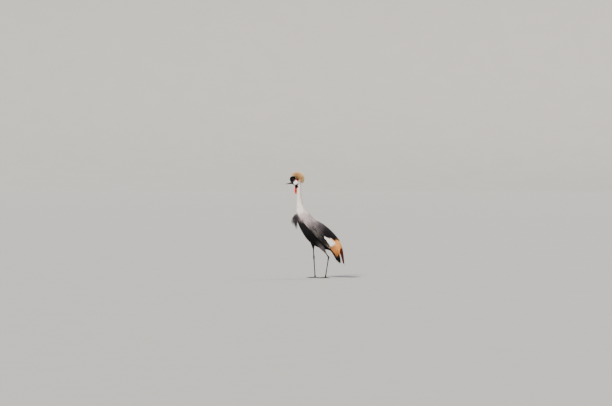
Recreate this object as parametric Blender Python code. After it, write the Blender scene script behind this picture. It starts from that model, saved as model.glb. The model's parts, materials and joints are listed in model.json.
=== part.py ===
"""Grey crowned crane, life size, standing with one leg a step behind the other.

The bird looks towards -X, its left side faces -Y, and +Z is up. Sizes below are in millimetres,
with the middle of the left foot at X = 0, and each mesh is multiplied by MM as it is made. At the
end the whole bird is moved along X, so that the origin lies on the floor under its middle.
"""

import math
import random

import bmesh
import bpy
from mathutils import Matrix, Vector

MM = 0.001
GAP = 0.3  # clear gap between two pieces that touch
LEFT = -1  # sign of Y on the bird's left
RIGHT = 1
UP = Vector((0, 0, 1))
AHEAD = Vector((-1, 0, 0))
BACKWARD = Vector((1, 0, 0.6))  # roughly where the bird's back faces, for the trunk's sections

# Trunk, from inside the head to the root of the tail: x, z, depth to the back, depth to the
# belly, half width. Depths are square to the line through the stations.
TRUNK = [
    (-262, 930, 20, 20, 18),
    (-258, 893, 19, 19, 17.5),
    (-257, 860, 18.5, 18.5, 17.5),
    (-257.5, 828, 20, 20, 18.5),
    (-257.5, 796, 22, 22, 20.5),
    (-255, 760, 26, 26, 24),
    (-251.5, 725, 31, 31, 28),
    (-247, 689, 38, 38, 34),
    (-237, 650, 50, 50, 43),
    (-213, 597, 65, 74, 56),
    (-163, 525, 70, 95, 68),
    (-100, 455, 92, 111, 77),
    (-40, 395, 98, 104, 78),
    (15, 345, 84, 76, 66),
    (58, 303, 54, 42, 44),
    (85, 272, 26, 20, 22),
]
NECK_TOP = 0.9  # stations where the trunk is parted
NECK_MIDDLE = 5.0
NECK_BASE = 8.6
RUMP = 15.0

# Cloak, the outer surface of the folded wings, from the shoulder to the wing tips
CLOAK = [
    (-215, 590, 70, 78, 66),
    (-160, 520, 85, 92, 86),
    (-100, 455, 108, 104, 99),
    (-40, 395, 115, 98, 104),
    (20, 340, 110, 80, 97),
    (75, 280, 95, 50, 80),
    (115, 215, 62, 46, 62),
    (140, 150, 36, 36, 46),
    (152, 90, 30, 30, 38),
]

COLOURS = {
    "pale grey feathers": (0.50, 0.50, 0.50),
    "slate feathers": (0.16, 0.15, 0.16),
    "charcoal feathers": (0.035, 0.034, 0.037),
    "black feathers": (0.012, 0.011, 0.014),
    "crest bristles": (0.72, 0.45, 0.20),
    "wattle skin": (0.70, 0.03, 0.02),
    "bill horn": (0.055, 0.055, 0.06),
    "leg scales": (0.035, 0.033, 0.036),
    "claw horn": (0.02, 0.019, 0.02),
    "iris": (0.62, 0.68, 0.70),
}


def clear_scene():
    for obj in list(bpy.data.objects):
        bpy.data.objects.remove(obj)


def collection(name):
    made = bpy.data.collections.new(name)
    bpy.context.scene.collection.children.link(made)
    return made


def material(name):
    found = bpy.data.materials.get(name)
    if found:
        return found
    made = bpy.data.materials.new(name)
    made.use_nodes = True
    shader = made.node_tree.nodes["Principled BSDF"]
    shader.inputs["Base Color"].default_value = (*COLOURS[name], 1)
    shader.inputs["Roughness"].default_value = 0.25 if name == "iris" else 0.7
    shader.inputs["Metallic"].default_value = 0
    made.diffuse_color = (*COLOURS[name], 1)
    return made


def smooth_row(rows, t):
    """The row of numbers at t along a list of rows, on a smooth curve through all of them."""
    last = len(rows) - 1
    i = min(max(int(math.floor(t)), 0), last - 1)
    f = t - i
    p1, p2 = rows[i], rows[i + 1]
    p0 = rows[i - 1] if i > 0 else [2 * a - b for a, b in zip(p1, p2)]
    p3 = rows[i + 2] if i + 2 <= last else [2 * b - a for a, b in zip(p1, p2)]
    return [
        0.5 * (2 * b + (c - a) * f + (2 * a - 5 * b + 4 * c - d) * f**2 + (3 * (b - c) + d - a) * f**3)
        for a, b, c, d in zip(p0, p1, p2, p3)
    ]


class Form:
    """A soft form: rings along a line of stations (x, y, z, depth up, depth down, half width).

    up says roughly where depth up points. A point on it is given by t, its place along the
    stations, and by an angle in degrees from the upper side, positive to the bird's left. The
    sections are square to the line through the stations, or all to one direction, facing.
    """

    def __init__(self, stations, up, grow=0.0, facing=None):
        self.rows = [row if len(row) == 6 else (row[0], 0, *row[1:]) for row in stations]
        self.up = Vector(up)
        self.grow = grow
        self.facing = facing

    def section(self, t):
        x, y, z, above, below, wide = smooth_row(self.rows, t)
        step = 0.01
        ahead = Vector(smooth_row(self.rows, t + step)[:3]) - Vector(smooth_row(self.rows, t - step)[:3])
        ahead = self.facing or ahead.normalized()
        up = (self.up - ahead * self.up.dot(ahead)).normalized()
        side = ahead.cross(up)
        if side.y > 0:
            side = -side
        return Vector((x, y, z)), ahead, up, side, above, below, wide

    def point(self, t, angle, lift=0.0):
        centre, _, up, side, above, below, wide = self.section(t)
        c, s = math.cos(math.radians(angle)), math.sin(math.radians(angle))
        depth = (above if c > 0 else below) + self.grow + lift
        return centre + up * (depth * c) + side * ((wide + self.grow + lift) * s)

    def normal(self, t, angle):
        along = self.point(t + 0.02, angle) - self.point(t - 0.02, angle)
        around = self.point(t, angle + 1) - self.point(t, angle - 1)
        normal = along.cross(around).normalized()
        outward = self.point(t, angle) - self.section(t)[0]
        return normal if normal.dot(outward) > 0 else -normal

    def ring(self, t, sides):
        return [self.point(t, 360 * (i + 0.5) / sides) for i in range(sides)]


def mesh_object(name, points, faces, finish):
    """A closed mesh object from points in millimetres, with its faces turned outwards."""
    mesh = bpy.data.meshes.new(name)
    mesh.from_pydata([Vector(p) * MM for p in points], [], faces)
    work = bmesh.new()
    work.from_mesh(mesh)
    bmesh.ops.recalc_face_normals(work, faces=work.faces)
    if work.calc_volume(signed=True) < 0:
        bmesh.ops.reverse_faces(work, faces=work.faces)
    work.to_mesh(mesh)
    work.free()
    mesh.materials.append(material(finish))
    obj = bpy.data.objects.new(name, mesh)
    bpy.context.scene.collection.objects.link(obj)
    return obj


def loft(name, rings, finish):
    """A closed skin over rings of equal length, with a flat cap at each end."""
    sides = len(rings[0])
    points = [p for ring in rings for p in ring]
    faces = [list(range(sides))]
    for r in range(len(rings) - 1):
        for i in range(sides):
            j = (i + 1) % sides
            a, b = r * sides, (r + 1) * sides
            faces.append([a + i, a + j, b + j, b + i])
    faces.append([len(points) - 1 - i for i in range(sides)])
    return mesh_object(name, points, faces, finish)


def spaced(start, end, count):
    return [start + (end - start) * i / (count - 1) for i in range(count)]


def form_object(name, form, start, end, rings, sides, finish):
    return loft(name, [form.ring(t, sides) for t in spaced(start, end, rings)], finish)


def ball(name, centre, radii, finish, columns=16, rows=10, turn=None):
    """An ellipsoid, turned by a matrix about its own centre if one is given."""
    work = bmesh.new()
    bmesh.ops.create_uvsphere(work, u_segments=columns, v_segments=rows, radius=1)
    shape = Matrix.Diagonal((*radii, 1))
    if turn:
        shape = turn @ shape
    bmesh.ops.transform(work, matrix=shape, verts=work.verts)
    points = [v.co + Vector(centre) for v in work.verts]
    faces = [[v.index for v in f.verts] for f in work.faces]
    work.free()
    return mesh_object(name, points, faces, finish)


def evaluated_copy(obj, name):
    graph = bpy.context.evaluated_depsgraph_get()
    mesh = bpy.data.meshes.new_from_object(obj.evaluated_get(graph))
    mesh.name = name
    return mesh


def keep_largest_surface(mesh):
    """Drops every closed surface of the mesh but the largest."""
    work = bmesh.new()
    work.from_mesh(mesh)
    left = set(work.verts)
    islands = []
    while left:
        start = left.pop()
        island, edge = {start}, [start]
        while edge:
            for link in edge.pop().link_edges:
                for v in link.verts:
                    if v in left:
                        left.remove(v)
                        island.add(v)
                        edge.append(v)
        islands.append(island)

    def area(island):
        return sum(f.calc_area() for f in work.faces if f.verts[0] in island)

    largest = max(islands, key=area)
    bmesh.ops.delete(work, geom=[v for v in work.verts if v not in largest], context="VERTS")
    work.to_mesh(mesh)
    work.free()


def fuse(name, pieces, cutters=()):
    """Joins closed pieces into one body, cuts it by each cutter, and keeps its largest surface."""
    base, others = pieces[0], pieces[1:]
    if others:
        group = bpy.data.collections.new(name + " pieces")
        for piece in others:
            bpy.context.scene.collection.objects.unlink(piece)
            group.objects.link(piece)
        bpy.context.scene.collection.children.link(group)
        union = base.modifiers.new("union", "BOOLEAN")
        union.operation = "UNION"
        union.solver = "MANIFOLD"
        union.operand_type = "COLLECTION"
        union.collection = group
    for cutter in cutters:
        cut = base.modifiers.new("cut", "BOOLEAN")
        cut.operation = "DIFFERENCE"
        cut.solver = "MANIFOLD"
        cut.object = cutter
    mesh = evaluated_copy(base, name)
    if others:
        for piece in others:
            bpy.data.objects.remove(piece)
        bpy.data.collections.remove(group)
    bpy.data.objects.remove(base)
    keep_largest_surface(mesh)
    obj = bpy.data.objects.new(name, mesh)
    bpy.context.scene.collection.objects.link(obj)
    return obj


CUT_GROWTH = 0.45  # growth of a piece that cuts its neighbour, leaving about GAP between them
trunk = Form(TRUNK, BACKWARD)
trunk_grown = Form(TRUNK, BACKWARD, grow=CUT_GROWTH)
TRUNK_SIDES = 16
TRUNK_STEP = 0.4
TRUNK_PLACES = sorted([i * TRUNK_STEP for i in range(1, 38)] + [NECK_TOP, NECK_MIDDLE, NECK_BASE])


def trunk_piece(name, start, end, finish, form=trunk):
    """A length of the trunk. All lengths share the same rings, so grown copies clear them."""
    places = [start] + [t for t in TRUNK_PLACES if start + 0.05 < t < end - 0.05] + [end]
    return loft(name, [form.ring(t, TRUNK_SIDES) for t in places], finish)


def body_cutter(start=6.0, end=RUMP + 0.012):
    return trunk_piece("body cut", start, end, "slate feathers", trunk_grown)

# Head, from the front of the velvet cap to the back of the skull:
# x, top z, bottom z, half width
HEAD = [
    (-347.5, 978, 966, 5),
    (-344, 986, 951, 12),
    (-336, 993, 939, 17),
    (-322, 997.5, 922, 21),
    (-308, 996, 912, 23.5),
    (-294, 989, 905, 25),
    (-280, 980, 901, 24.5),
    (-266, 970, 902, 22),
    (-253, 957, 908, 17.5),
    (-244, 944, 918, 11),
    (-240.5, 936, 926, 5),
]


def head_form(grow=0.0):
    rows = [(x, 0, (top + low) / 2, (top - low) / 2, (top - low) / 2, wide) for x, top, low, wide in HEAD]
    rows[0] = (rows[0][0] - grow, *rows[0][1:])
    rows[-1] = (rows[-1][0] + grow, *rows[-1][1:])
    return Form(rows, UP, grow, -AHEAD)


def skull_piece(name, grow=0.0):
    return form_object(name, head_form(grow), 0, len(HEAD) - 1, 15, 16, "black feathers")


# Bill: x, z of the mouth line, height above it, depth below it, half width
BILL = [
    (-316, 928.5, 13, 8.5, 8),
    (-326, 928.2, 12.5, 8, 7.7),
    (-342, 926.8, 10.5, 6.5, 6.6),
    (-358, 924.6, 8, 5, 5.2),
    (-374, 922.2, 5.6, 3.6, 3.6),
    (-386, 920.2, 3.4, 2.3, 2.2),
    (-392, 918.8, 1.6, 1.2, 1.1),
]


def bill_half(name, above, grow=0.0):
    """One mandible: a half-round section on its side of the mouth line."""
    arc = 7
    rings = []
    for x, z, high, low, wide in BILL:
        reach = high if above else -low
        mouth = z + (GAP / 2 - grow) * (1 if above else -1)
        ring = [
            (
                x - (grow if x < -380 else 0),
                -(wide + grow) * math.cos(math.pi * i / (arc - 1)),
                mouth + (reach + math.copysign(grow, reach)) * math.sin(math.pi * i / (arc - 1)),
            )
            for i in range(arc)
        ]
        rings.append(ring)
    return loft(name, rings, "bill horn")


EYE = (-305, 18.9, 957)  # x, distance from the middle plane, z
EYE_RADIUS = 8.0
LID_DISTANCE = 23.6  # of the ring of the lids from the middle plane
LID_RADIUS = 7.4
LID_THICKNESS = 1.5


def eye(side):
    name = "eye_l" if side == LEFT else "eye_r"
    x, y, z = EYE
    return ball(name, (x, side * y, z), [EYE_RADIUS] * 3, "iris", 12, 8)


def eye_socket(side):
    x, y, z = EYE
    return ball("socket", (x, side * y, z), [EYE_RADIUS + CUT_GROWTH] * 3, "iris", 12, 8)


def lid_ring(side, around=12, across=4):
    """The raised rim of the lids, a little longer than high."""
    x, _, z = EYE
    points, faces = [], []
    for i in range(around):
        turn = 2 * math.pi * i / around
        for j in range(across):
            tilt = 2 * math.pi * j / across
            reach = LID_RADIUS + LID_THICKNESS * math.cos(tilt)
            out = LID_DISTANCE + LID_THICKNESS * math.sin(tilt)
            points.append((x + reach * math.cos(turn), side * out, z + 0.9 * reach * math.sin(turn)))
    for i in range(around):
        for j in range(across):
            a, b = i * across, (i + 1) % around * across
            k = (j + 1) % across
            faces.append([a + j, a + k, b + k, b + j])
    return mesh_object("lids", points, faces, "black feathers")


def make_head():
    skull = skull_piece("skull")
    throat = trunk_piece("throat", 0, NECK_TOP, "pale grey feathers")
    cutters = [
        eye_socket(LEFT),
        eye_socket(RIGHT),
        bill_half("upper pocket", True, GAP),
        bill_half("lower pocket", False, GAP),
    ]
    head = fuse("head", [skull, throat, lid_ring(LEFT), lid_ring(RIGHT)], cutters)
    for cutter in cutters:
        bpy.data.objects.remove(cutter)
    return head


NOSTRIL = (-341, 6.2, 932.3)  # x, distance from the middle plane, z
NOSTRIL_RADII = (6.5, 1.6, 1.2)


def make_upper_bill():
    bill = bill_half("bill_upper", True)
    tilt = Matrix.Rotation(math.radians(-8), 4, "Y")
    cutters = []
    for side in (LEFT, RIGHT):
        x, y, z = NOSTRIL
        cutters.append(ball("nostril", (x, side * y, z), NOSTRIL_RADII, "bill horn", 8, 5, tilt))
    bill = fuse("bill_upper", [bill], cutters)
    for cutter in cutters:
        bpy.data.objects.remove(cutter)
    return bill


# Wattle, hanging from the throat: x, z, depth forward, depth backward, half width
WATTLE = [
    (-290, 908, 7, 7, 6),
    (-290.5, 893, 9, 8.5, 7),
    (-291, 872, 12, 11.5, 9),
    (-291, 850, 12.5, 12, 9.5),
    (-290.5, 834, 10, 9.5, 8),
    (-290, 825, 6, 6, 5),
    (-289.5, 822, 2.5, 2.5, 2.2),
]


def make_wattle():
    bulb = form_object("bulb", Form(WATTLE, AHEAD), 0, len(WATTLE) - 1, 10, 12, "wattle skin")
    head_cut = skull_piece("head cut", CUT_GROWTH)
    throat_cut = body_cutter(0, 2)
    wattle = fuse("wattle", [bulb], [head_cut, throat_cut])
    bpy.data.objects.remove(head_cut)
    bpy.data.objects.remove(throat_cut)
    return wattle


def slab(name, outer, inner, finish, tip=None):
    """A closed sheet between two grids of points, ending in a row or in a single tip."""
    rows, columns = len(outer), len(outer[0])
    points = [p for row in outer for p in row] + [p for row in inner for p in row]
    under = rows * columns
    faces = []
    for i in range(rows - 1):
        for j in range(columns - 1):
            a = i * columns + j
            b, c, d = a + 1, a + columns + 1, a + columns
            faces += [[a, b, c], [a, c, d], [under + a, under + c, under + b], [under + a, under + d, under + c]]
    left = [i * columns for i in range(rows)]
    right = [i * columns + columns - 1 for i in range(rows)]
    first = list(range(columns))
    last = [(rows - 1) * columns + j for j in range(columns)]
    rims = [left, right, first] if tip else [left, right, first, last]
    for rim in rims:
        for a, b in zip(rim, rim[1:]):
            faces += [[a, b, under + b], [a, under + b, under + a]]
    if tip:
        end = len(points)
        points.append(tip)
        ring = last + [under + k for k in reversed(last)]
        for a, b in zip(ring, ring[1:] + ring[:1]):
            faces.append([a, b, end])
    return mesh_object(name, points, faces, finish)


def shell(name, form, t_span, angle_span, thicknesses, counts, finish):
    """A slab under a form's surface, its thickness changing along the form."""
    outer, inner = [], []
    for i in range(counts[0]):
        share = i / (counts[0] - 1)
        t = mix(*t_span, share)
        thickness = mix(*thicknesses, share)
        places = [form.point(t, mix(*angle_span, j / (counts[1] - 1))) for j in range(counts[1])]
        normals = [form.normal(t, mix(*angle_span, j / (counts[1] - 1))) for j in range(counts[1])]
        outer.append(places)
        inner.append([p - n * thickness for p, n in zip(places, normals)])
    return slab(name, outer, inner, finish)


def vane(name, path, normals, half_widths, thickness, finish, roll=0.0):
    """One flat feather along a path: a row of points across at each station, and a tip."""
    outer, inner = [], []
    for i in range(len(path) - 1):
        way = (path[i + 1] - path[max(i - 1, 0)]).normalized()
        normal = (normals[i] - way * normals[i].dot(way)).normalized()
        if roll:
            normal = Matrix.Rotation(math.radians(roll), 3, way) @ normal
        side = way.cross(normal)
        thick = thickness * (1 - 0.35 * i / (len(path) - 1))
        outer.append([path[i] + side * (half_widths[i] * k) + normal * (thick / 2) for k in (-1, 1)])
        inner.append([path[i] + side * (half_widths[i] * k) - normal * (thick / 2) for k in (-1, 1)])
    return slab(name, outer, inner, finish, path[-1])


def mix(a, b, share):
    return a + (b - a) * share


# Crest: a mound behind the cap, and stiff bristles that fan out from it, bending over the cap
MOUND_CENTRE = Vector((-274, 0, 969))
MOUND_RADII = Vector((29, 20, 27))
CREST_ROOT = Vector((-272, 0, 957))
CREST_COUNT = 64
CREST_SWEEP = (-38, 149)  # first and last direction above straight back, in degrees
CREST_FORWARD = 0.8  # below 1, more of the bristles lean forward
CREST_SPREAD = 0.84  # sine of the widest direction to either side
CREST_NARROWING = 0.42  # how much shorter the bristles at the sides are
CREST_HALF_WIDTH = 3.4
CREST_THICKNESS = 1.5
CAP_CLEARANCE = 1008  # height that the foremost bristles keep above the cap


def crest_reach(angle):
    """Length of the crest from its root, by the angle in degrees above straight back."""
    share = min(max((angle + 40) / 150, 0), 1)
    return 62 + 31 * (0.5 - 0.5 * math.cos(math.pi * share))


def crest_bristle(index, draw):
    sweep = mix(*CREST_SWEEP, ((index * 0.5698 + 0.5) % 1) ** CREST_FORWARD)
    aside = CREST_SPREAD * (2 * ((index * 0.7549 + 0.5) % 1) - 1)
    level = math.sqrt(1 - aside * aside)
    turn = math.radians(sweep)
    way = Vector((level * math.cos(turn), aside, level * math.sin(turn)))
    narrow = 1 - CREST_NARROWING * aside * aside
    end = CREST_ROOT + way * (crest_reach(sweep) * narrow * draw.uniform(0.94, 1.0))
    if end.x < -300:
        end.z = max(end.z, CAP_CLEARANCE)
    out = (way + UP * (0.6 + 0.9 * max(-way.x, 0))).normalized()
    root = MOUND_CENTRE + Vector([r * o for r, o in zip(MOUND_RADII, out)]) * 0.82
    bend = root + out * (0.5 * (end - root).length)
    path = []
    for s in (0, 0.55, 1):
        path.append(root * (1 - s) ** 2 + bend * (2 * s * (1 - s)) + end * s**2)
    face = Matrix.Rotation(draw.uniform(-0.9, 0.9), 3, way) @ (UP + BACKWARD * 0.3)
    w = CREST_HALF_WIDTH
    return vane("bristle", path, [face] * 3, [w * 0.8, w], CREST_THICKNESS, "crest bristles")


def make_crest():
    draw = random.Random(7)
    pieces = [ball("mound", MOUND_CENTRE, MOUND_RADII, "crest bristles", 12, 8)]
    pieces += [crest_bristle(i, draw) for i in range(CREST_COUNT)]
    head_cut = skull_piece("head cut", CUT_GROWTH)
    nape_cut = body_cutter(0, 3)
    crest = fuse("crest", pieces, [head_cut, nape_cut])
    bpy.data.objects.remove(head_cut)
    bpy.data.objects.remove(nape_cut)
    return crest


# Long pointed feathers of the lower neck, row by row from the lowest: root along the trunk, tip of
# the middle feather, feathers in the row, angle to either side of the breast, height of the tips
# over the breast
BREAST_ROWS = [
    (8.3, 9.7, 7, 50, 34),
    (8.0, 9.45, 6, 44, 48),
    (7.6, 8.95, 6, 38, 56),
]
BREAST_HALF_WIDTH = 8.5
BREAST_THICKNESS = 1.5


def breast_plumes():
    draw = random.Random(11)
    plumes = []
    for root, tip, count, spread, height in BREAST_ROWS:
        for i in range(count):
            share = 2 * (i + 0.5) / count - 1
            angle = 180 + spread * share
            reach = mix(tip, root + 0.85, abs(share) ** 1.5) + draw.uniform(-0.1, 0.1)
            stand = height * (1 - 0.72 * abs(share))
            path, normals = [], []
            for s, rise in ((0, -4.5), (0.16, 3), (0.58, 3 + 0.5 * stand), (1, 3 + stand)):
                t = mix(root, reach, s)
                path.append(trunk.point(t, angle, rise))
                normals.append(trunk.normal(t, angle))
            w = BREAST_HALF_WIDTH
            widths = [w * 0.7, w, w * 0.9]
            plumes.append(vane("plume", path, normals, widths, BREAST_THICKNESS, "pale grey feathers"))
    return plumes


def make_lower_neck():
    neck = trunk_piece("neck", NECK_MIDDLE + 0.01, NECK_BASE, "pale grey feathers")
    return fuse("neck_lower", [neck] + breast_plumes())


# Folded wing: the core under its feathers, in stations of the cloak and degrees from the back
core_form = Form(CLOAK, BACKWARD, grow=-7.5)
vane_form = Form(CLOAK, BACKWARD, grow=-4.5)
CORE_SPAN = (0.12, 5.25)
CORE_ANGLES = (6, 108)
CORE_THICKNESS = (9, 5)
VANE_THICKNESS = 0.8
VANE_ROOT = -6.5  # height of every root over the surface that the vanes lie on
VANE_START = 0.3  # height where a vane has come out of the core
VANE_ROLL = -8.0  # degrees that a vane is turned, with its edge nearest the belly raised


class Tier:
    """A row of wing feathers, by where its roots and tips lie on the cloak.

    Each pair is for the feather nearest the back and the one nearest the belly. A place is a
    station of the cloak, and a height is over the surface that the vanes lie on.
    """

    def __init__(self, count, roots, root_angles, tips, tip_angles, half_width, heights, bends, point):
        self.count = count
        self.roots = roots
        self.root_angles = root_angles
        self.tips = tips
        self.tip_angles = tip_angles
        self.half_width = half_width
        self.heights = heights
        self.bends = bends  # stations along a feather after it has come out of the core
        self.point = point  # 0 for a round end, 1 for a long pointed one


WING_TIERS = [
    Tier(8, (4.9, 4.6), (15, 105), (7.6, 7.0), (19, 104), 10.5, (1.0, -9.0), (0.4, 0.68, 0.9), 0.2),
    Tier(6, (4.3, 3.9), (32, 100), (6.4, 5.9), (36, 98), 9, (5.2, 0.5), (0.4, 0.7), 0.8),
    Tier(6, (3.85, 3.45), (30, 103), (5.8, 5.2), (34, 101), 9, (6.4, 3.4), (0.4, 0.7), 0.8),
    Tier(5, (3.4, 3.0), (48, 101), (4.9, 4.4), (50, 100), 12.5, (6.8, 5.6), (0.72,), 0.3),
    Tier(6, (2.85, 2.5), (46, 102), (4.3, 3.85), (48, 102), 12, (7.0, 6.4), (0.72,), 0.3),
    Tier(4, (2.9, 3.1), (8, 37), (5.6, 5.3), (10, 41), 10, (9.4, 8.2), (0.4, 0.7), 0.6),
    Tier(6, (2.2, 1.85), (11, 100), (3.7, 3.3), (10.5, 99), 15, (7.4, 7.0), (0.66,), 0.8),
    Tier(6, (1.55, 1.25), (14, 100), (3.0, 2.6), (11, 100), 15, (7.0, 6.6), (0.66,), 0.8),
    Tier(6, (0.95, 0.7), (17, 98), (2.35, 1.95), (13, 98), 14.5, (7.0, 6.6), (0.66,), 0.8),
    Tier(6, (0.5, 0.42), (20, 96), (1.8, 1.45), (16, 98), 12, (6.6, 6.4), (0.66,), 0.8),
]


def wing_tier(tier):
    """The feathers of one tier, each with its lower edge over the upper edge of the next."""
    vanes = []
    for i in range(tier.count):
        share = i / (tier.count - 1)
        root = (mix(*tier.roots, share), mix(*tier.root_angles, share))
        tip = (mix(*tier.tips, share), mix(*tier.tip_angles, share))
        height = mix(*tier.heights, share)
        path, normals = [], []
        for s in (0, 0.13, *tier.bends, 1):
            t, angle = mix(root[0], tip[0], s), mix(root[1], tip[1], s)
            rise = mix(VANE_START, height, s) if s else VANE_ROOT
            path.append(vane_form.point(t, angle, rise))
            normals.append(vane_form.normal(t, angle))
        w = tier.half_width
        middle = [w] * (len(tier.bends) - 1)
        widths = [w * 0.4, w * 0.62] + middle + [w * mix(0.9, 1.0 if len(path) < 5 else 0.75, tier.point)]
        vanes.append(vane("vane", path, normals, widths, VANE_THICKNESS, "slate feathers", VANE_ROLL))
    return vanes


def make_wings():
    """Both wings: a thin folded core each, with its feathers fused to it tier by tier."""
    core = shell("core", core_form, CORE_SPAN, CORE_ANGLES, CORE_THICKNESS, (10, 8), "slate feathers")
    pieces = [core]
    for tier in WING_TIERS:
        pieces += wing_tier(tier)
    left = fuse("left wing", pieces)
    right = mirrored(left, "right wing")
    body_cut = body_cutter()
    wings = [fuse("wing_l", [left], [body_cut]), fuse("wing_r", [right], [body_cut])]
    bpy.data.objects.remove(body_cut)
    return wings


def mirrored(obj, name):
    """A copy of a piece on the bird's other side."""
    mesh = obj.data.copy()
    mesh.transform(Matrix.Diagonal((1, -1, 1, 1)))
    mesh.flip_normals()
    made = bpy.data.objects.new(name, mesh)
    bpy.context.scene.collection.objects.link(made)
    return made


# Tail, from the rump to the tips of its feathers: x, z, depth above, depth below, half width
TAIL = [
    (85, 272, 26, 20, 22),
    (101, 247, 17, 14, 27),
    (118, 205, 8, 8, 30),
    (130, 165, 5, 5, 31),
    (138, 132, 3, 3, 29),
]


TAIL_COUNT = 9
TAIL_HALF_WIDTH = 9.0
TAIL_STACK = 6.0  # height of the middle feather over the outermost
TAIL_THICKNESS = 0.9


def make_tail():
    """The tail: a short root, and vanes that lie over one another from its middle outwards."""
    form = Form(TAIL, BACKWARD)
    pieces = [form_object("root", form, 0, 1.3, 4, TRUNK_SIDES, "charcoal feathers")]
    for i in range(TAIL_COUNT):
        share = 2 * i / (TAIL_COUNT - 1) - 1
        path, normals = [], []
        for s in (0, 0.35, 0.7, 0.9, 1):
            t = mix(0.75, 4.0 - 0.35 * abs(share), s)
            centre, _, up, side, _, _, wide = form.section(t)
            path.append(centre + side * (share * wide * 0.72) + up * (TAIL_STACK * (0.5 - abs(share))))
            normals.append(up)
        w = TAIL_HALF_WIDTH
        roll = -4 * share
        pieces.append(
            vane("vane", path, normals, [w * 0.5, w, w, w * 0.75], TAIL_THICKNESS, "charcoal feathers", roll)
        )
    body_cut = body_cutter()
    tail = fuse("tail", pieces, [body_cut])
    bpy.data.objects.remove(body_cut)
    return tail


class Leg:
    """The points that one leg is built on."""

    def __init__(self, side, letter, knee, ankle, foot, feather_end):
        self.side = side
        self.letter = letter
        self.knee = Vector((knee[0], side * 44, knee[1]))
        self.ankle = Vector((ankle[0], side * 41, ankle[1]))
        self.foot = Vector((foot, side * 40, 11))
        self.feather_end = feather_end


LEGS = [
    Leg(LEFT, "l", (-103, 408), (30, 205), 0, 0.78),
    Leg(RIGHT, "r", (-128, 448), (-114, 208), -102, 0.66),
]


FOOT_TOP = 0.955  # share of the way from the ankle to the foot where the tarsus ends


def along(a, b, share):
    return a.lerp(b, share)


def limb(name, rows, sides, finish):
    """A round limb through (centre, radius fore and aft, radius sideways)."""
    stations = [(*centre, fore, fore, wide) for centre, fore, wide in rows]
    form = Form(stations, AHEAD)
    return form_object(name, form, 0, len(rows) - 1, len(rows) + 1, sides, finish)


def make_thigh(leg):
    share = leg.feather_end
    rows = [
        (along(leg.knee, leg.ankle, 0.12), 34, 27),
        (along(leg.knee, leg.ankle, share * 0.45), 32, 25),
        (along(leg.knee, leg.ankle, share * 0.68), 23, 19),
        (along(leg.knee, leg.ankle, share * 0.86), 13.5, 12),
        (along(leg.knee, leg.ankle, share), 7.5, 7.5),
    ]
    thigh = limb("thigh " + leg.letter, rows, 16, "charcoal feathers")
    body_cut = body_cutter()
    thigh = fuse("thigh_" + leg.letter, [thigh], [body_cut])
    bpy.data.objects.remove(body_cut)
    return thigh


ANKLE_RADII = (9, 9.8, 10.5)


def make_shank(leg):
    """The bare part of the tibia, with the knuckle of the ankle at its lower end."""
    length = (leg.ankle - leg.knee).length
    start = leg.feather_end + GAP / length
    rows = [
        (along(leg.knee, leg.ankle, start), 6.2, 6.2),
        (along(leg.knee, leg.ankle, (start + 1) / 2 - 0.02), 5.4, 5.6),
        (along(leg.knee, leg.ankle, 0.95), 6.4, 7.6),
        (leg.ankle, 6.4, 7.4),
    ]
    pieces = [
        limb("tibia", rows, 10, "leg scales"),
        ball("knuckle", leg.ankle, ANKLE_RADII, "leg scales", 12, 8),
    ]
    return fuse("shank_" + leg.letter, pieces)


def make_tarsus(leg):
    down = (leg.foot - leg.ankle).normalized()
    rows = [
        (leg.ankle + down * 2, 6.5, 7.6),
        (along(leg.ankle, leg.foot, 0.08), 7.2, 7.4),
        (along(leg.ankle, leg.foot, 0.16), 5.6, 5.6),
        (along(leg.ankle, leg.foot, 0.55), 5.0, 5.0),
        (along(leg.ankle, leg.foot, 0.86), 5.4, 5.8),
        (along(leg.ankle, leg.foot, FOOT_TOP), 6.6, 8.0),
    ]
    tarsus = limb("tarsus", rows, 10, "leg scales")
    grown = [radius + CUT_GROWTH for radius in ANKLE_RADII]
    knuckle_cut = ball("knuckle cut", leg.ankle, grown, "leg scales", 12, 8)
    tarsus = fuse("tarsus_" + leg.letter, [tarsus], [knuckle_cut])
    bpy.data.objects.remove(knuckle_cut)
    return tarsus


# Toes: name, length without the claw, angle from straight ahead in degrees (positive outwards)
TOES = [("middle", 72, 4), ("outer", 57, 38), ("inner", 54, -32), ("hind", 34, 178)]
TOE_RADIUS = 5.4
CLAW_LENGTH = 15


def toe_rows(leg, length, angle):
    """Stations of a toe, from the middle of the foot to the root of its claw."""
    turn = math.radians(angle) * leg.side
    way = Vector((-math.cos(turn), math.sin(turn), 0))
    rows = []
    for share, radius in ((0.0, 1.1), (0.25, 0.95), (0.5, 0.92), (0.75, 0.8), (1.0, 0.62)):
        centre = leg.foot + way * (length * share)
        r = TOE_RADIUS * radius
        rows.append((Vector((centre.x, centre.y, r * 0.86)), r, r))
    return rows, way


def flatten_sole(obj):
    """Presses what lies under the floor up to it, so that the sole is flat."""
    for v in obj.data.vertices:
        v.co.z = max(v.co.z, 0)


def make_foot(leg):
    pieces = []
    down = (leg.foot - leg.ankle).normalized()
    top = along(leg.ankle, leg.foot, FOOT_TOP) + down * GAP
    pad_rows = [
        (top, 6.8, 8.2),
        (top + down * 5, 8.2, 9.6),
        (top + down * 11, 8.6, 10),
        (top + down * 22, 7.5, 8.5),
    ]
    pad = limb("pad", pad_rows, 10, "leg scales")
    flatten_sole(pad)
    pieces.append(pad)
    for toe, length, angle in TOES:
        rows, _ = toe_rows(leg, length, angle)
        stations = [(*centre, high, high, wide) for centre, high, wide in rows]
        piece = form_object(toe, Form(stations, UP), 0, len(rows) - 1, 5, 8, "leg scales")
        flatten_sole(piece)
        pieces.append(piece)
    return fuse("foot_" + leg.letter, pieces)


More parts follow.
